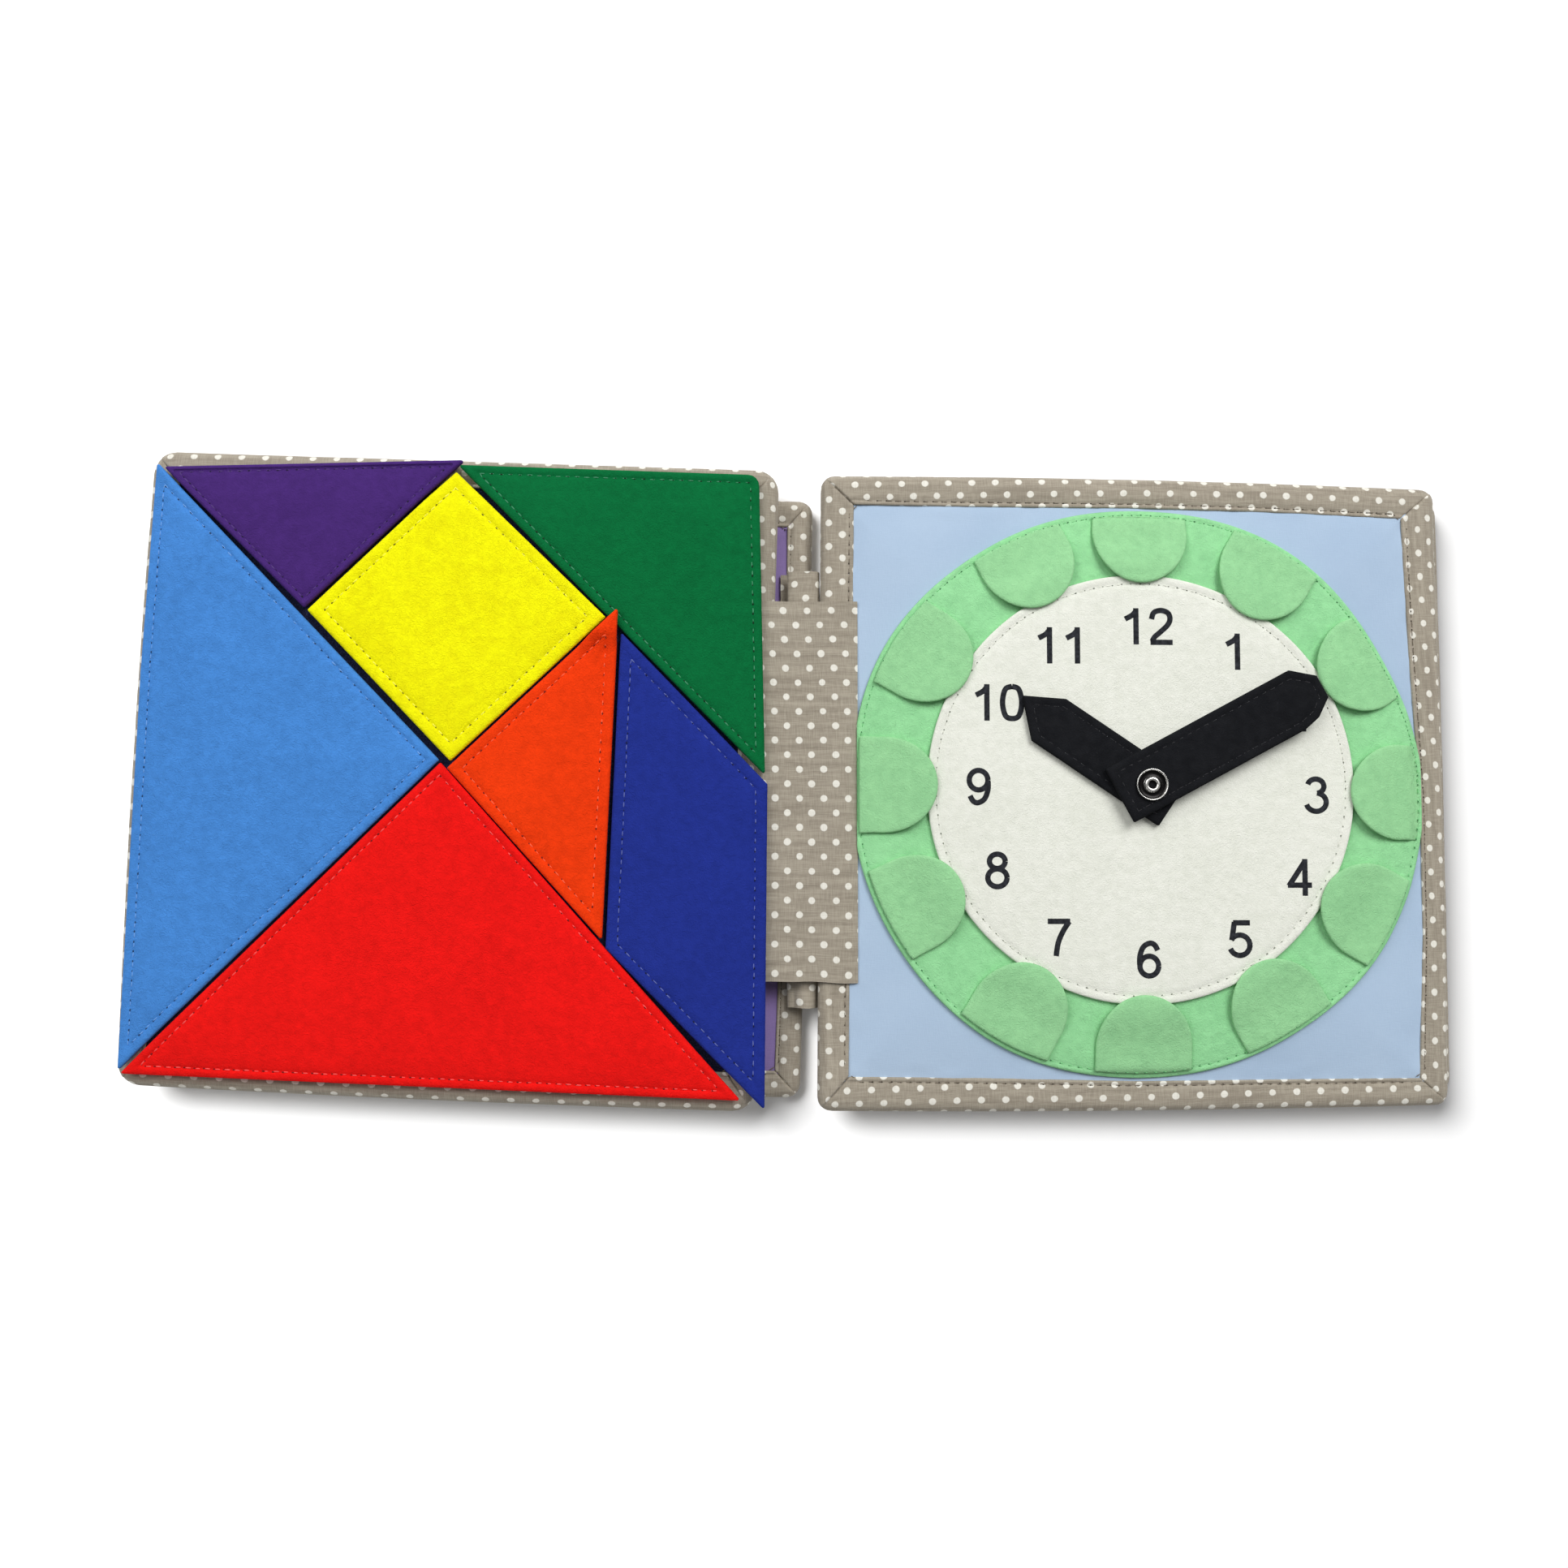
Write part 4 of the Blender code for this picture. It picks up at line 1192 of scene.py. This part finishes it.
def cloth_strip(name, path, length, centre_y, along, low_slant, pucker):
    """A strip whose path across the spine is given, run along the spine with soft, uneven ends."""
    steps = 70
    work = bmesh.new()
    own_map = work.loops.layers.uv.new("cloth")
    rows = []
    for step in range(steps + 1):
        share = step / steps
        y = centre_y + (share - 0.5) * length
        spent = path[0][0]
        row = []
        for index, (x, z) in enumerate(path):
            if index:
                spent += math.dist(path[index - 1], path[index])
            waver = noise.noise(Vector((x * 60, y * 45, along))) * 0.0002
            frayed = noise.noise(Vector((x * 90, along, round(share)))) * 0.0004
            edge = frayed * abs(2 * share - 1) ** 8 - low_slant * x * (1 - share)
            near_low_end = smooth((0.012 - share * length) / 0.006)
            droop = pucker * near_low_end * min(1.0, abs(x - 0.0035) / 0.0035) ** 2
            drift = 0.00125 * (max(y, 0.0) / 0.052) ** 2
            corner = work.verts.new((x, y + edge, z + waver - droop))
            row.append((corner, spent - dot_across + drift, y - dot_along))
        rows.append(row)
    for lower, upper in zip(rows, rows[1:]):
        for index in range(len(path) - 1):
            corners = (lower[index], lower[index + 1], upper[index + 1], upper[index])
            face = work.faces.new([corner[0] for corner in corners])
            for loop, (_, u, v) in zip(face.loops, corners):
                loop[own_map].uv = (u, v)
    strip = finish_piece(name, work, spine, strip_linen, None, ())
    thicken(strip, cloth_thickness, 0)
    return strip


strip_top = 0.0033 + 0.00055
middle_path = [
    (-0.0182, strip_top - 0.0006), (-0.0165, strip_top - 0.0003), (-0.0125, strip_top + 0.0001),
    (-0.0085, strip_top - 0.0002), (-0.0052, strip_top - 0.0008), (-0.002, strip_top - 0.00105),
    (0.002, strip_top - 0.00105), (0.0052, strip_top - 0.0007), (0.0085, strip_top - 0.0001),
    (0.0125, strip_top + 0.0002), (0.0165, strip_top), (0.0188, strip_top - 0.0003),
    (0.0198, strip_top - 0.0006),
]
middle_length = 0.121
middle_parts = (
    ("left", middle_path[:5], "leaf_2", "leaf_1", -0.0095, -0.0052),
    ("centre", middle_path[4:8], "leaf_1", "leaf_4", -0.0052, 0.0052),
    ("right", middle_path[7:], "leaf_4", "leaf_3", 0.0052, 0.0095),
)
for name, path, first, second, start, end in middle_parts:
    whole = "middle_hinge_strip_" + name
    part = cloth_strip(whole, bend(path), middle_length, -0.0004, 1.0, 0.016, 0.0)
    start, end = (spine @ Vector((x, 0, 0)) for x in (start, end))
    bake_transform(part)
    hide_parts("hinge_strip_2")

left_fold = [
    (-0.0046, -0.00545), (0.0004, -0.00545), (0.0046, -0.0053), (0.0068, -0.0042),
    (0.0077, -0.0023), (0.0071, -0.0005), (0.0052, 0.0004), (0.0024, 0.0003), (-0.0003, -0.0003),
    (-0.002, -0.0013), (-0.0021, -0.0026),
]
left_back = [
    (-0.0021, -0.0026), (-0.0034, -0.0035), (-0.0058, -0.0038), (-0.009, -0.00385),
    (-0.0184, -0.00385),
]
right_fold = [
    (0.0288, -0.00545), (0.0200, -0.00545), (0.0115, -0.0054), (0.0094, -0.0051),
    (0.0088, -0.00465), (0.0094, -0.0042), (0.0115, -0.00395), (0.0175, -0.00385),
]

# Path, length along the spine, the leaf it lies on, the leaf it passes over to with the two places
# between which it does so, the strip that it is part of, and how far its lower end droops
folded = {
    "left_hinge_strip_fold": (
        left_fold, 0.14, "leaf_1", "leaf_2", ((0.0, -0.00407), (-0.00064, -0.00195)),
        "hinge_strip_1", 0.0022,
    ),
    "left_hinge_strip_back": (left_back, 0.119, "leaf_2", None, (), "hinge_strip_1", 0.0),
    "right_hinge_strip_fold": (
        right_fold, 0.14, "leaf_4", "leaf_3", ((0.0, -0.0053), (0.0, -0.004)),
        "hinge_strip_3", 0.0,
    ),
}
for name, (path, tall, first, second, passing, node, pucker) in folded.items():
    path = bend(path)
    part = cloth_strip(name, path, tall, 0.0005, 2.0, 0.0, pucker)
    if second:
        start, end = (spine @ Vector((x, 0, z)) for x, z in passing)
        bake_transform(part)
    else:
        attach(part, first)
    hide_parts(node)

# Camera, floor and lamps. The camera looks nearly straight down on the book, which lies on a plain
# white floor. Two broad lamps light the book, and a third one lights the floor alone.
camera_data = bpy.data.cameras.new("camera")
camera_data.lens = 31.33
camera_data.sensor_width = 36
camera = bpy.data.objects.new("camera", camera_data)
origin = Vector((spine.translation.x, spine.translation.y, 0))
camera.location = origin + Vector((-0.0119, -0.0227, 0.45))
camera.rotation_euler = [math.radians(angle) for angle in (3.21, -1.106, 0.069)]
bpy.context.scene.collection.objects.link(camera)
bpy.context.scene.camera = camera
bpy.context.scene.view_settings.view_transform = "Standard"

floor_mesh = bpy.data.meshes.new("floor")
floor_mesh.from_pydata([(-4, -4, 0), (4, -4, 0), (4, 4, 0), (-4, 4, 0)], [], [(0, 1, 2, 3)])
floor = bpy.data.objects.new("floor", floor_mesh)
bpy.context.scene.collection.objects.link(floor)
floor_look = Look(
    "white floor", {"Base Color": (0.9, 0.9, 0.9, 1.0), "Roughness": 1.0, "Specular IOR Level": 0.0}
)
rays = floor_look.place.node("ShaderNodeLightPath", {}, {})
camera_ray, glossy_ray, passing_ray = (
    Value(rays.tree, rays.socket.node.outputs[kind])
    for kind in ("Is Camera Ray", "Is Glossy Ray", "Is Transmission Ray")
)
seen = camera_ray + glossy_ray + passing_ray
floor_look.shader.inputs["Emission Strength"].default_value = 1.0
floor_look.feed("Emission Color", seen.between((0.0, 0.0, 0.0, 1.0), (0.06, 0.06, 0.06, 1.0)))
floor_mesh.materials.append(floor_look.material)

world = bpy.data.worlds.new("studio")
bpy.context.scene.world = world
world.use_nodes = True
world.node_tree.nodes["Background"].inputs["Color"].default_value = (1.0, 1.0, 1.0, 1.0)
world.node_tree.nodes["Background"].inputs["Strength"].default_value = 0.2


def lamp(name, place, size, power, floor_light):
    """A square soft lamp that faces the book, and lights either the floor or what lies on it."""
    light = bpy.data.lights.new(name, "AREA")
    light.size = size
    light.energy = power
    holder = bpy.data.objects.new(name, light)
    holder.location = Vector(place)
    holder.rotation_euler = Vector(place).to_track_quat("Z", "Y").to_euler()
    bpy.context.scene.collection.objects.link(holder)
    lit = bpy.data.collections.new(name + " lights")
    lit.objects.link(floor)
    lit.collection_objects[0].light_linking.link_state = "INCLUDE" if floor_light else "EXCLUDE"
    holder.light_linking.receiver_collection = lit


lamp("key lamp", (0.75, 1.0, 1.55), 1.1, 28.5, False)
lamp("fill lamp", (-1.0, 0.8, 1.3), 1.2, 15.5, False)
lamp("floor lamp", (-1.1, 0.9, 1.75), 1.2, 80.0, True)
